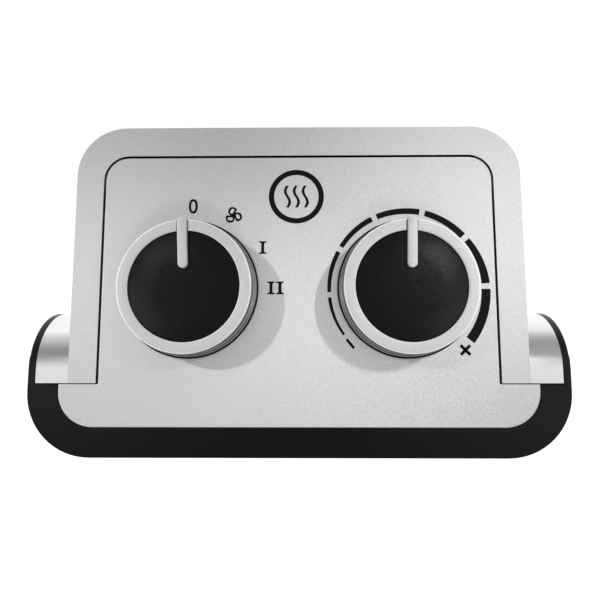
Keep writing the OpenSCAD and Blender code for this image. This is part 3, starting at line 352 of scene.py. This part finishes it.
# Side caps: the thin black plates that close the ends of the rolled shoulders, level with the arms.
# Black ABS like the bezel, clipped on from outside, with a rounded outer edge and a tight seam.
CAP_TOP_R = 19.2
CAP_LOW_R = 12
CAP_EDGE = 0.55
CAP_SEAM_EDGE = 0.12
(cap_in, _, cap_low), (cap_out, cap_back, _) = extent("side_cap_right")
cap_seam = extent("front_bezel")[1][1]
roll_y = cap_back - CAP_TOP_R
roll_end = math.degrees(math.acos((cap_seam - roll_y) / CAP_TOP_R))


def arc(x, y, r, start, end, steps=24):
    """Points of an arc between two angles in degrees."""
    turns = [math.radians(start + (end - start) * k / steps) for k in range(steps + 1)]
    return [(x + r * math.cos(a), y + r * math.sin(a)) for a in turns]


def as_mesh(bm, name):
    """The finished mesh of a bmesh, with its faces turned outwards."""
    bmesh.ops.recalc_face_normals(bm, faces=bm.faces)
    mesh = bpy.data.meshes.new(name)
    bm.to_mesh(mesh)
    bm.free()
    return mesh


def as_piece(name, mesh, finish, sharp=40):
    """A new object with smooth shading up to a sharp angle."""
    mesh.materials.clear()
    mesh.materials.append(finish)
    for face in mesh.polygons:
        face.use_smooth = True
    mesh.set_sharp_from_angle(angle=math.radians(sharp))
    piece = bpy.data.objects.new(name, mesh)
    bpy.context.scene.collection.objects.link(piece)
    return piece


cap_side = ([(cap_seam, cap_low)]
            + arc(cap_back - CAP_LOW_R, cap_low + CAP_LOW_R, CAP_LOW_R, -90, 0)
            + arc(roll_y, panel_top - CAP_TOP_R, CAP_TOP_R, 0, roll_end, 40))
for side, s in (("left", -1), ("right", 1)):
    bm = bmesh.new()
    inner, outer = [[bm.verts.new((s * mm(x), mm(y), mm(z))) for y, z in cap_side]
                    for x in (cap_in, cap_out)]
    for k in range(len(cap_side)):
        m = (k + 1) % len(cap_side)
        bm.faces.new((inner[k], inner[m], outer[m], outer[k]))
    bm.faces.new(inner)
    bm.faces.new(outer)
    weight = bm.edges.layers.float.new("bevel_weight_edge")
    for loop, size in ((outer, CAP_EDGE), (inner, CAP_SEAM_EDGE)):
        for k in range(len(cap_side)):
            m = (k + 1) % len(cap_side)
            at_seam = m == 0
            bm.edges.get((loop[k], loop[m]))[weight] = (CAP_SEAM_EDGE if at_seam else size) / CAP_EDGE
    for k in (0, -1):
        bm.edges.get((inner[k], outer[k]))[weight] = CAP_SEAM_EDGE / CAP_EDGE
    cap = as_piece(f"side_cap_{side}_moulded", as_mesh(bm, f"cap_{side}"), black, sharp=30)
    rim = cap.modifiers.new("edge", "BEVEL")
    rim.width = mm(CAP_EDGE)
    rim.segments = 3
    rim.limit_method = "WEIGHT"
    shade = cap.modifiers.new("shade", "WEIGHTED_NORMAL")
    shade.keep_sharp = True
    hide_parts(f"side_cap_{side}")
    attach(cap, "casing")

# Knobs: a silver skirt with a flat ring on top, a black disc let into it and a silver pointer bar.
# The skirt and bar are lacquered mouldings; the disc is fine matt black and snaps in from above.
# Sections are half outlines of radius, height over the panel and fillet, in mm.
knob_joints = {joint["name"].removesuffix("_turn"): joint for joint in frame["joints"]
               if joint["name"].endswith("_turn")}
# Turn of each pointer from straight back, in degrees
KNOB_TURN = {"selector": 2.5, "thermostat": -1.5}
SKIRT = [(0, 6.45, 0), (17.76, 6.45, 0), (17.76, 8.3, 0.3), (21.4, 8.3, 0.6), (21.46, 7.2, 0),
         (21.56, 4.6, 4), (21.95, 3.1, 0.12), (21.5, 2.95, 0.1), (21.5, 2.55, 0.1), (22.15, 2.35, 0.15),
         (22.5, 1.3, 0.1), (22.5, 1.05, 0), (20.6, 1.05, 0.1), (19.4, 5.05, 0.6),
         (6, 5.05, 0.4), (6, 2.8, 0.2), (3.05, 2.8, 0), (3.05, 5.85, 0), (0, 5.85, 0)]
FLANGE = [(20.7, 1.0, 0.1), (20.7, 0.5, 0), (23, 0.5, 0.1), (23, 0.95, 0.15), (22.3, 1.0, 0)]
DISC = [(0, 6.5, 0), (17.66, 6.5, 0), (17.66, 7.8, 0.25), (9, 7.83, 4), (0, 7.83, 0)]
BAR_W = 3.1
BAR_IN = 5.6
BAR_OUT = 22.2
BAR_LOW = 7.5
BAR_TOP = 9.0
BAR_EDGE = 0.4
SLOT_SIDE = 0.35
SLOT_IN = 17
SLOT_OUT = 24
BED_Z = 7.45
GROOVE_GAP = 0.18
RING_SILVER = (0.69, 0.69, 0.69)
SHADED_SKIRT_SILVER = (0.34, 0.34, 0.34)
PAINTED_HIGHLIGHT_SILVER = (0.95, 0.95, 0.95)
RING_LOW = 7.9
HIGHLIGHT_BAND_TOP = 8.27
KNOB_SHARP = 35


STRAIGHT = 1e-4


def filleted(corners, steps=5):
    """A closed outline whose corners (x, y, radius) are rounded."""
    outline = []
    count = len(corners)
    for i, (x, y, radius) in enumerate(corners):
        here = Vector((x, y))
        before = Vector(corners[i - 1][:2]) - here
        after = Vector(corners[(i + 1) % count][:2]) - here
        if radius <= 0:
            outline.append((x, y))
            continue
        before.normalize()
        after.normalize()
        half = before.angle(after) / 2
        if abs(half - math.pi / 2) < STRAIGHT:
            outline.append((x, y))
            continue
        reach = radius / math.tan(half)
        middle = here + (before + after).normalized() * (radius / math.sin(half))
        start = here + before * reach - middle
        end = here + after * reach - middle
        turn = math.atan2(start.x * end.y - start.y * end.x, start.dot(end))
        for k in range(steps + 1):
            a = turn * k / steps
            p = middle + Vector((start.x * math.cos(a) - start.y * math.sin(a),
                                 start.x * math.sin(a) + start.y * math.cos(a)))
            outline.append((p.x, p.y))
    return outline


def turned(name, profile, steps=160):
    """A mesh turned round Z from a closed profile of (r, z) in mm."""
    bm = bmesh.new()
    rings = []
    for r, z in profile:
        if r == 0:
            rings.append([bm.verts.new((0, 0, mm(z)))])
        else:
            rings.append([bm.verts.new((mm(r) * math.cos(2 * math.pi * k / steps),
                                        mm(r) * math.sin(2 * math.pi * k / steps), mm(z)))
                          for k in range(steps)])
    for a, b in zip(rings, rings[1:] + rings[:1]):
        for k in range(steps):
            m = (k + 1) % steps
            corners = [a[k % len(a)], a[m % len(a)], b[m % len(b)], b[k % len(b)]]
            corners = [c for i, c in enumerate(corners) if c not in corners[:i]]
            if len(corners) > 2:
                bm.faces.new(corners)
    return as_mesh(bm, name)


def inset(outline, distance):
    """The closed outline, counter-clockwise, moved inwards by a distance."""
    moved = []
    for i, here in enumerate(outline):
        a = (Vector(here) - Vector(outline[i - 1])).normalized()
        b = (Vector(outline[(i + 1) % len(outline)]) - Vector(here)).normalized()
        left_a, left_b = Vector((-a.y, a.x)), Vector((-b.y, b.x))
        mitre = left_a + left_b
        moved.append(Vector(here) + mitre * (2 * distance / mitre.length_squared))
    return [(p.x, p.y) for p in moved]


def slab(name, outline, low, high, edge=0.0, steps=4):
    """A plate over an outline in mm from low to high, with its top edge rounded."""
    levels = [(0, low)]
    for k in range(steps + 1 if edge else 1):
        a = math.pi / 2 * k / steps
        levels.append((edge * (1 - math.cos(a)), high - edge * (1 - math.sin(a))))
    bm = bmesh.new()
    rings = [[bm.verts.new((mm(x), mm(y), mm(z))) for x, y in inset(outline, d)]
             for d, z in levels]
    for a, b in zip(rings, rings[1:]):
        for k in range(len(a)):
            m = (k + 1) % len(a)
            bm.faces.new((a[k], a[m], b[m], b[k]))
    bm.faces.new(list(reversed(rings[0])))
    bm.faces.new(rings[-1])
    return as_mesh(bm, name)


def stadium(width, start, end, steps=12):
    """Outline of a straight bar along +Y with round ends."""
    half = width / 2
    right = [(half * math.cos(a), start + half + half * math.sin(a))
             for a in [-math.pi + math.pi * k / steps for k in range(steps + 1)]]
    left = [(half * math.cos(a), end - half + half * math.sin(a))
            for a in [math.pi * k / steps for k in range(steps + 1)]]
    return right + left


def carved(mesh, cutter):
    """The mesh with the cutter's solid taken away."""
    body = bpy.data.objects.new("body", mesh)
    tool = bpy.data.objects.new("tool", cutter)
    for o in (body, tool):
        bpy.context.scene.collection.objects.link(o)
    cut = body.modifiers.new("cut", "BOOLEAN")
    cut.operation = "DIFFERENCE"
    cut.object = tool
    cut.solver = "EXACT"
    result = bpy.data.meshes.new_from_object(
        body.evaluated_get(bpy.context.evaluated_depsgraph_get()))
    for o in (body, tool):
        bpy.data.objects.remove(o)
    return result


# The skirt's wall below the ring is a glossier, more metallic skin whose darker colour is painted shade
knob_silver = lacquered(
    "knob_lacquer", RING_SILVER, SILVER_METAL, SILVER_ROUGH, flake_mm=0.24, tilt=0.08, shade=0.06,
    side=dict(top=panel_top + RING_LOW, colour=SHADED_SKIRT_SILVER, metal=0.95, rough=0.2),
    # A light band painted under the ring's top edge is a painted highlight
    edge=dict(top=panel_top + HIGHLIGHT_BAND_TOP, colour=PAINTED_HIGHLIGHT_SILVER))
knob_black = moulded("knob_matt_black", (0.006, 0.006, 0.006), rough=0.2, grain_mm=0.4, gloss=0.25,
                     facet=0.035)
for knob, joint in knob_joints.items():
    body = joint["child"]
    turn = Matrix.Rotation(math.radians(KNOB_TURN[knob]), 4, "Z")
    seat = Matrix.Translation(joint["pos_m"]) @ turn
    gap = BAR_W / 2 + SLOT_SIDE
    slot_cut = slab("slot_cut", [(-gap, SLOT_IN), (gap, SLOT_IN), (gap, SLOT_OUT), (-gap, SLOT_OUT)],
                    BED_Z, BAR_TOP)
    skirt = carved(turned("skirt", filleted(SKIRT)), slot_cut)
    groove = slab("groove", stadium(BAR_W + 2 * GROOVE_GAP, BAR_IN - GROOVE_GAP, BAR_OUT), BED_Z, BAR_TOP)
    disc = carved(turned("disc", filleted(DISC)), groove)
    bar = slab("bar", stadium(BAR_W, BAR_IN, BAR_OUT), BAR_LOW, BAR_TOP, edge=BAR_EDGE)
    # The black flange at the skirt's foot is black plastic that also stands as painted shade for the gap
    # under the knob
    flange = as_piece(f"{knob}_flange", turned("flange", filleted(FLANGE)), knob_black, KNOB_SHARP)
    flange.data.transform(seat)
    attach(flange, body)
    for part, mesh, finish, slot in (("knob", skirt, knob_silver, "knob_silver"),
                                     ("inlay", disc, knob_black, "knob_black"),
                                     ("pointer", bar, knob_silver, "knob_silver")):
        mesh.transform(seat)
        piece = as_piece(f"{knob}_{part}_turned", mesh, finish, KNOB_SHARP)
        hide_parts(f"{knob}_{part}")
        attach(piece, body)

# Dial marks: 0, a fan, I and II for the selector, minus, growing arcs and plus for the thermostat.
# Pad-printed black ink on the lacquer, a few hundredths of a millimetre thick.
# Places are x and y of a mark's middle in mm.
INK = 0.03
ZERO_AT = (-35.35, 27.53)
ZERO_HALVES = (1.52, 2.52)
ZERO_LINE = 0.82
ZERO_SQUARE = 1.15
FAN_AT = (-21.7, 24.3)
FAN_TURN = 58
FAN_HUB_R = 0.4
FAN_BLADE = (1.52, 2.0, 0.52, 0.5)
FAN_WINDOW = (0.84, 0.68, 0.44, 1.08)
FAN_REACH = 1.04
ONE_AT = (-11.76, 13.3)
TWO_AT = (-7.42, -0.3)
TWO_STEP = 1.48
RING_AT = (-0.52, 30.8)
RING_RADII = (9.3, 7.5)
WAVE_STEP = 3
MINUS_AT = (17.15, -18.75)
PLUS_AT = (54.56, -20.8)
# One row for each piece of the thermostat's arc: the bearings of its ends in degrees, then the inner
# and outer radius at the first end and at the last
ARCS = [(-126.1, -96.5, 25.38, 26.18, 25.07, 26.22), (-92.6, -61.0, 24.98, 26.18, 24.86, 26.36),
        (-56.8, -25.4, 24.88, 26.42, 25.08, 26.93), (-21.4, 10.5, 25.12, 27.02, 25.28, 27.28),
        (14.5, 47.1, 25.27, 27.28, 24.78, 27.08), (51.4, 86.2, 25.02, 27.07, 24.7, 27.46),
        (90.3, 129.9, 24.56, 27.5, 24.92, 28.12)]


def printed(name, outlines):
    """Thin ink shapes on the panel from closed outlines in mm; an outline inside another is its hole."""
    curve = bpy.data.curves.new(name, "CURVE")
    curve.dimensions = "2D"
    curve.fill_mode = "BOTH"
    curve.extrude = mm(INK)
    for outline in outlines:
        line = curve.splines.new("POLY")
        line.points.add(len(outline) - 1)
        for point, (x, y) in zip(line.points, outline):
            point.co = (mm(x), mm(y), 0, 1)
        line.use_cyclic_u = True
    holder = bpy.data.objects.new(name, curve)
    bpy.context.scene.collection.objects.link(holder)
    mesh = bpy.data.meshes.new_from_object(
        holder.evaluated_get(bpy.context.evaluated_depsgraph_get()))
    bpy.data.objects.remove(holder)
    bm = bmesh.new()
    bm.from_mesh(mesh)
    bmesh.ops.remove_doubles(bm, verts=bm.verts, dist=mm(0.0001))
    bmesh.ops.recalc_face_normals(bm, faces=bm.faces)
    bm.to_mesh(mesh)
    bm.free()
    mesh.transform(Matrix.Translation((0, 0, mm(panel_top))))
    return mesh


def oval(x, y, rx, ry, steps=48, square=1.0):
    """Outline of an oval; square above 1 makes its sides straighter."""
    points = []
    for k in range(steps):
        c, s = math.cos(2 * math.pi * k / steps), math.sin(2 * math.pi * k / steps)
        points.append((x + rx * math.copysign(abs(c) ** (1 / square), c),
                       y + ry * math.copysign(abs(s) ** (1 / square), s)))
    return points


def numeral(x, y):
    """Outline of an upright I with slab serifs, rounded off where the stem meets them."""
    half, top, stem, serif, toe, heel = 1.26, 2.14, 0.5, 0.4, 0.25, 0.1
    quarter = [(half, top), (half, top - serif), (stem + toe, top - serif - heel), (stem, top - 2 * serif)]
    right = [(u, -v) for u, v in quarter] + quarter[::-1]
    return [(x + u, y + v) for u, v in right] + [(x - u, y + v) for u, v in right[::-1]]


def fan_lobe(x, y, turn, sizes):
    """Outline of one half-round fan blade whose straight side starts at the hub, or of its window.
    sizes are its half length, its height over and under the middle line, and that line's place."""
    half, top, low, middle = sizes
    points = []
    for k in range(40):
        c, s = math.cos(2 * math.pi * k / 40), math.sin(2 * math.pi * k / 40)
        u = FAN_REACH + half * math.copysign(abs(c) ** 0.75, c)
        v = middle + (top * s ** 0.75 if s > 0 else -low * abs(s) ** 0.6)
        points.append((x + math.cos(turn) * u - math.sin(turn) * v,
                       y + math.sin(turn) * u + math.cos(turn) * v))
    return points


def arc_piece(start, end, inner0, outer0, inner1, outer1, steps=20):
    """One piece of the thermostat's arc between two bearings, clockwise from the back."""
    x, y, _ = [1000 * v for v in knob_joints["thermostat"]["pos_m"]]
    outer, inner = [], []
    for k in range(steps + 1):
        t = k / steps
        bearing = math.radians(start + (end - start) * t)
        for line, r0, r1 in ((outer, outer0, outer1), (inner, inner0, inner1)):
            r = r0 + (r1 - r0) * t
            line.append((x + r * math.sin(bearing), y + r * math.cos(bearing)))
    return outer + inner[::-1]


def stroke(x, y, length, width, angle):
    """Outline of a straight stroke with its middle at x, y."""
    c, s = math.cos(math.radians(angle)), math.sin(math.radians(angle))
    corners = [(-length, -width), (length, -width), (length, width), (-length, width)]
    return [(x + (u * c - v * s) / 2, y + (u * s + v * c) / 2) for u, v in corners]


def wave(x, y, height=7.6, sway=0.75, width=0.95, steps=24):
    """Outline of one upright wavy line, as on a heat symbol."""
    middle = [(x + sway * math.sin(2 * math.pi * k / steps), y + height * (k / steps - 0.5))
              for k in range(steps + 1)]
    left = [(u - width / 2, v) for u, v in middle]
    return [(u + width / 2, v) for u, v in middle] + left[::-1]


ink = moulded("print_ink", (0.004, 0.004, 0.004), rough=0.5, grain_mm=0.2, depth=0.002, gloss=0.2)
zero_hole = [half - ZERO_LINE for half in ZERO_HALVES]
marks = {
    "mark_zero": [oval(*ZERO_AT, *halves, square=ZERO_SQUARE) for halves in (ZERO_HALVES, zero_hole)],
    "mark_one": [numeral(*ONE_AT)],
    "mark_two": [numeral(TWO_AT[0] + s * TWO_STEP, TWO_AT[1]) for s in (-1, 1)],
    "mark_arcs": [arc_piece(*row) for row in ARCS],
    "mark_minus": [stroke(*MINUS_AT, length=3.75, width=0.92, angle=-51)],
    "mark_ring": [oval(*RING_AT, r, r, steps=128) for r in RING_RADII],
    "mark_heat": [wave(RING_AT[0] + s * WAVE_STEP, RING_AT[1]) for s in (-1, 0, 1)],
}
for k in range(3):
    turn = math.radians(120 * k + FAN_TURN)
    marks[f"mark_fan_{k + 1}"] = [fan_lobe(*FAN_AT, turn, sizes) for sizes in (FAN_BLADE, FAN_WINDOW)]
marks["mark_fan_hub"] = [oval(*FAN_AT, FAN_HUB_R, FAN_HUB_R, steps=24)]
for k in range(2):
    marks[f"mark_plus_{k + 1}"] = [stroke(*PLUS_AT, length=4.4, width=1.02, angle=45 + 90 * k)]
for name, outlines in marks.items():
    piece = as_piece(name, printed(name, outlines), ink)
    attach(piece, "casing")

# Outlet grille and guard: the louvred black insert in the front and the wire guard behind it.
# Heat-resistant black moulding, clipped in from inside; the guard is spot-welded plated steel wire.
outlet_black = moulded("outlet_black", (0.012, 0.012, 0.012), rough=0.48)
dress(outlet_black, "outlet_grille")
soften(nodes["outlet_grille"], edge=0.3, segments=2, flats=False)
wire = moulded("plated_wire", (0.45, 0.45, 0.46), rough=0.32, grain_mm=0.4, depth=0.004, shade=0.08, metal=1)
dress(wire, "guard_mesh")
soften(nodes["guard_mesh"], edge=0.2, segments=2, flats=False)

# Intake: the slotted black cover in the back, its filter of open nylon mesh and the filter's frame.
# The cover and frame are mouldings; the filter lies between them.
dress(outlet_black, "intake_grille", "filter_frame")
for name in ("intake_grille", "filter_frame"):
    soften(nodes[name], edge=0.25, segments=2, flats=False)
filter_mesh = moulded("filter_nylon", (0.05, 0.05, 0.055), rough=0.8, grain_mm=0.6, depth=0.1, shade=0.5)
dress(filter_mesh, "dust_filter")

# Grip recess: the cup for the fingers in the upper back.
# Grained black moulding, snapped into the housing from inside.
base_black = moulded("base_black", (0.014, 0.014, 0.014), rough=0.52, grain_mm=0.7, depth=0.02)
dress(base_black, "grip_recess")
soften(nodes["grip_recess"], edge=0.5)

# Base: the black floor with its four rubber feet, the screws and the bush for the cord.
# The base is screwed to both shells from below; the feet are pressed into round seats.
dress(base_black, "base_plate")
soften(nodes["base_plate"], edge=0.5)
rubber = moulded("foot_rubber", (0.02, 0.02, 0.02), rough=0.75, grain_mm=0.4, depth=0.02)
dress(rubber, "rubber_feet", "cord_gland")
soften(nodes["rubber_feet"], edge=0.3, segments=2)
soften(nodes["cord_gland"], edge=0.4, segments=2)
zinc = moulded("zinc_plate", (0.55, 0.55, 0.54), rough=0.3, depth=0.004, shade=0.08, metal=1)
dress(zinc, "housing_screws", "base_screws")
for name in ("housing_screws", "base_screws"):
    soften(nodes[name], edge=0.15, segments=2)

# Controls under the panel: rotary switch, thermostat with its bimetal blade, shafts and the baffle.
# Phenolic, nylon, plated steel and mica, carried by the nuts on the two threaded bushes.
phenolic = moulded("phenolic", (0.03, 0.028, 0.026), rough=0.5)
dress(phenolic, "rotary_switch")
nylon = moulded("natural_nylon", (0.75, 0.75, 0.70), rough=0.45)
dress(nylon, "switch_cam")
steel = moulded("turned_steel", (0.55, 0.55, 0.55), rough=0.25, grain_mm=0.3, depth=0.003, shade=0.06,
                metal=1)
dress(steel, "selector_shaft", "thermostat_shaft")
sheet = moulded("galvanised_sheet", (0.5, 0.51, 0.52), rough=0.35, grain_mm=2.5, shade=0.2, metal=1)
dress(sheet, "thermostat_body")
brass = moulded("brass", (0.72, 0.52, 0.24), rough=0.3, grain_mm=0.6, depth=0.004, shade=0.1, metal=1)
dress(brass, "bimetal_blade")
mica = moulded("mica_board", (0.62, 0.55, 0.42), rough=0.6, grain_mm=1.2, depth=0.02, shade=0.25)
dress(mica, "control_baffle")
dress(zinc, "bush_nuts")
soften(nodes["bush_nuts"], edge=0.15, segments=2)

# Heating element: ivory frame, aluminium fins, ceramic stones and the sheet duct that holds them.
# The stones are clamped between the brass strips and heat the corrugated fins; the cut-out and the
# ceramic fuse sit on the duct.
ivory = moulded("ivory_frame", (0.72, 0.68, 0.55), rough=0.5)
dress(ivory, "element_frame")
aluminium = moulded("mill_aluminium", (0.78, 0.79, 0.8), rough=0.3, grain_mm=0.8, depth=0.006, shade=0.1,
                    metal=1)
dress(aluminium, "heater_fins")
stone = moulded("fired_ceramic", (0.16, 0.14, 0.13), rough=0.7, depth=0.03, shade=0.3)
dress(stone, "ptc_stones")
dress(brass, "electrode_strips")
dress(sheet, "heat_duct")
dress(phenolic, "thermal_cutout")
glazed = moulded("glazed_ceramic", (0.8, 0.78, 0.7), rough=0.25)
dress(glazed, "thermal_fuse")

# Mains terminals: the block where the cord's wires end, with its clamps.
# Glazed ceramic, fixed to the base, with brass clamps in it.
dress(glazed, "terminal_block")
dress(brass, "terminal_clamps")

# Fan and motor: grey impeller on the motor's shaft, the shroud with its ring and the bracket.
# Glass-filled nylon, with a plated motor can, ferrite magnets and a copper-wound rotor.
shroud = moulded("shroud_nylon", (0.025, 0.025, 0.025), rough=0.5, grain_mm=0.8, depth=0.02)
dress(shroud, "fan_shroud", "motor_bracket")
impeller = moulded("impeller_nylon", (0.25, 0.26, 0.27), rough=0.45)
dress(impeller, "fan_impeller")
dress(sheet, "motor_can")
ferrite = moulded("ferrite", (0.08, 0.08, 0.08), rough=0.6)
dress(ferrite, "motor_magnets")
copper = moulded("copper_winding", (0.6, 0.28, 0.14), rough=0.35, depth=0.03, shade=0.3, metal=1)
dress(copper, "motor_rotor")
dress(steel, "motor_shaft")
dress(brass, "motor_bushes")
dress(zinc, "motor_screws")

# Tip-over switch: the red plunger in the base under its spring and small switch.
# Acetal plunger in a nylon case; it rests on the floor while the heater stands.
acetal = moulded("red_acetal", (0.42, 0.02, 0.02), rough=0.35)
dress(acetal, "tip_plunger")
dress(nylon, "tip_switch_case")
dress(steel, "tip_spring")
dress(phenolic, "micro_switch")

# Studio: a pale floor, a soft sky with a darker ceiling and small lamps that draw the shadows.
# The camera stands close over the panel, leaning a little towards the back. Lengths here are in metres.
FLOOR_RINGS = (0.3, 1, 6)
FLOOR_SIDES = 96
FLOOR_GLOW = 0.66
FILL = 0.46
# Level of the sky over the sine of the height above the horizon
SKY = [(0, 1), (0.13, 1), (0.24, 0.62), (0.35, 0.38), (0.5, 0.26), (0.7, 0.17), (0.85, 0.09), (1, 0.05)]
# Soft patches of sky that only reflections see: direction, radius in degrees and level
GLOWS = [((0.46, -0.02, 0.887), 14, 1.05), ((-0.475, 0.0, 0.88), 12, 1.25),
         ((0.325, 0.24, 0.915), 5.5, 6.2), ((-0.34, 0.25, 0.905), 6.5, 1.9),
         ((0.36, 0.47, 0.81), 18, 0.15), ((-0.46, 0.82, 0.34), 26, 0.3),
         ((-0.78, 0.15, 0.61), 12, 1.5), ((0.78, 0.2, 0.6), 12, 2.0)]
bm = bmesh.new()
turns = [2 * math.pi * k / FLOOR_SIDES for k in range(FLOOR_SIDES)]
rings = [[bm.verts.new((r * math.cos(a), r * math.sin(a), 0)) for a in turns] for r in FLOOR_RINGS]
bm.faces.new(rings[0])
for a, b in zip(rings, rings[1:]):
    for k in range(FLOOR_SIDES):
        m = (k + 1) % FLOOR_SIDES
        bm.faces.new((a[k], b[k], b[m], a[m]))
floor_mesh = as_mesh(bm, "floor")


def direct_rays(tree):
    """The kinds of ray, and a mask of those from the camera, off glossy surfaces and through glass."""
    rays = tree.nodes.new("ShaderNodeLightPath").outputs
    seen = math_node(tree, "MAXIMUM", rays["Is Camera Ray"], rays["Is Glossy Ray"])
    return rays, math_node(tree, "MAXIMUM", seen, rays["Is Transmission Ray"])


floor_finish, tree, shader = new_finish("pale_floor")
shader.inputs["Base Color"].default_value = (0.82, 0.82, 0.82, 1)
shader.inputs["Roughness"].default_value = 0.9
shader.inputs["Specular IOR Level"].default_value = 0.1
rays, seen = direct_rays(tree)
shader.inputs["Emission Color"].default_value = (1, 1, 1, 1)
tree.links.new(math_node(tree, "MULTIPLY", seen, FLOOR_GLOW), shader.inputs["Emission Strength"])
floor_mesh.materials.append(floor_finish)
floor = bpy.data.objects.new("floor", floor_mesh)
bpy.context.scene.collection.objects.link(floor)

world = bpy.data.worlds.new("studio")
bpy.context.scene.world = world
world.use_nodes = True
# Without sampling, every ray meets the sky as the kind of ray that it is
world.cycles.sampling_method = "NONE"
tree = world.node_tree
sky = tree.nodes["Background"]
place = tree.nodes.new("ShaderNodeTexCoord")
height = tree.nodes.new("ShaderNodeSeparateXYZ")
tree.links.new(place.outputs["Generated"], height.inputs[0])
ramp = tree.nodes.new("ShaderNodeValToRGB")
for position, level in SKY[1:-1]:
    ramp.color_ramp.elements.new(position)
for stop, (position, level) in zip(ramp.color_ramp.elements, SKY):
    stop.position = position
    stop.color = (level, level, level, 1)
tree.links.new(height.outputs["Z"], ramp.inputs[0])
level = ramp.outputs[0]
for towards, spread, strength in GLOWS:
    along = tree.nodes.new("ShaderNodeVectorMath")
    along.operation = "DOT_PRODUCT"
    along.inputs[1].default_value = Vector(towards).normalized()
    tree.links.new(place.outputs["Generated"], along.inputs[0])
    glow = tree.nodes.new("ShaderNodeMapRange")
    glow.interpolation_type = "SMOOTHSTEP"
    glow.inputs["From Min"].default_value = math.cos(math.radians(spread))
    glow.inputs["From Max"].default_value = 1
    glow.inputs["To Max"].default_value = strength
    tree.links.new(along.outputs["Value"], glow.inputs["Value"])
    level = math_node(tree, "ADD", level, glow.outputs[0])
rays, seen = direct_rays(tree)
level = math_node(tree, "MAXIMUM", level, rays["Is Camera Ray"])
level = math_node(tree, "MULTIPLY", seen, level)
fill = math_node(tree, "MULTIPLY", math_node(tree, "SUBTRACT", 1, seen), FILL)
tree.links.new(math_node(tree, "ADD", level, fill), sky.inputs["Color"])
sky.inputs["Strength"].default_value = 1


def lamp(name, aim, towards, watts, kind="SPOT", distance=1.0, size=0.03, cone=0):
    """A soft lamp that shines on a point from a direction, with a cone in degrees for a spot."""
    light = bpy.data.lights.new(name, kind)
    if kind == "AREA":
        light.shape = "DISK"
        light.size = size
    else:
        light.shadow_soft_size = size / 2
        light.spot_size = math.radians(cone)
        light.spot_blend = 1
    light.energy = watts
    beam = Vector(towards).normalized()
    holder = bpy.data.objects.new(name, light)
    holder.location = Vector(aim) + beam * distance
    holder.rotation_euler = beam.to_track_quat("Z", "Y").to_euler()
    holder.visible_glossy = False
    bpy.context.scene.collection.objects.link(holder)


LEFT, RIGHT = (-0.71, 0.39, 0.59), (0.65, 0.44, 0.62)
lamp("key_left", (-0.046, -0.03, 0.245), LEFT, 34, cone=9.5)
lamp("wash_left", (-0.072, 0.04, 0.245), LEFT, 14, cone=8)
lamp("key_right", (0.055, -0.03, 0.245), RIGHT, 21, cone=10.5)
lamp("wash_right", (0.075, 0.045, 0.245), RIGHT, 44, cone=9)
lamp("front_soft", (0, 0, 0.2), (0.1, -0.8, 0.8), 3.2, kind="AREA", distance=1.1, size=0.35)

CAMERA_LENS = 28.23
CAMERA_AT = (0.00241, -0.02013, 0.39558)
CAMERA_TURN = (5.83, 0.63, -0.09)
camera = bpy.data.cameras.new("camera")
camera.sensor_width = 36
camera.lens = CAMERA_LENS
camera.clip_start = 0.01
camera.clip_end = 50
holder = bpy.data.objects.new("camera", camera)
holder.rotation_mode = "ZYX"
holder.rotation_euler = [math.radians(turn) for turn in CAMERA_TURN]
holder.location = CAMERA_AT
bpy.context.scene.collection.objects.link(holder)
bpy.context.scene.camera = holder
bpy.context.scene.view_settings.view_transform = "Standard"
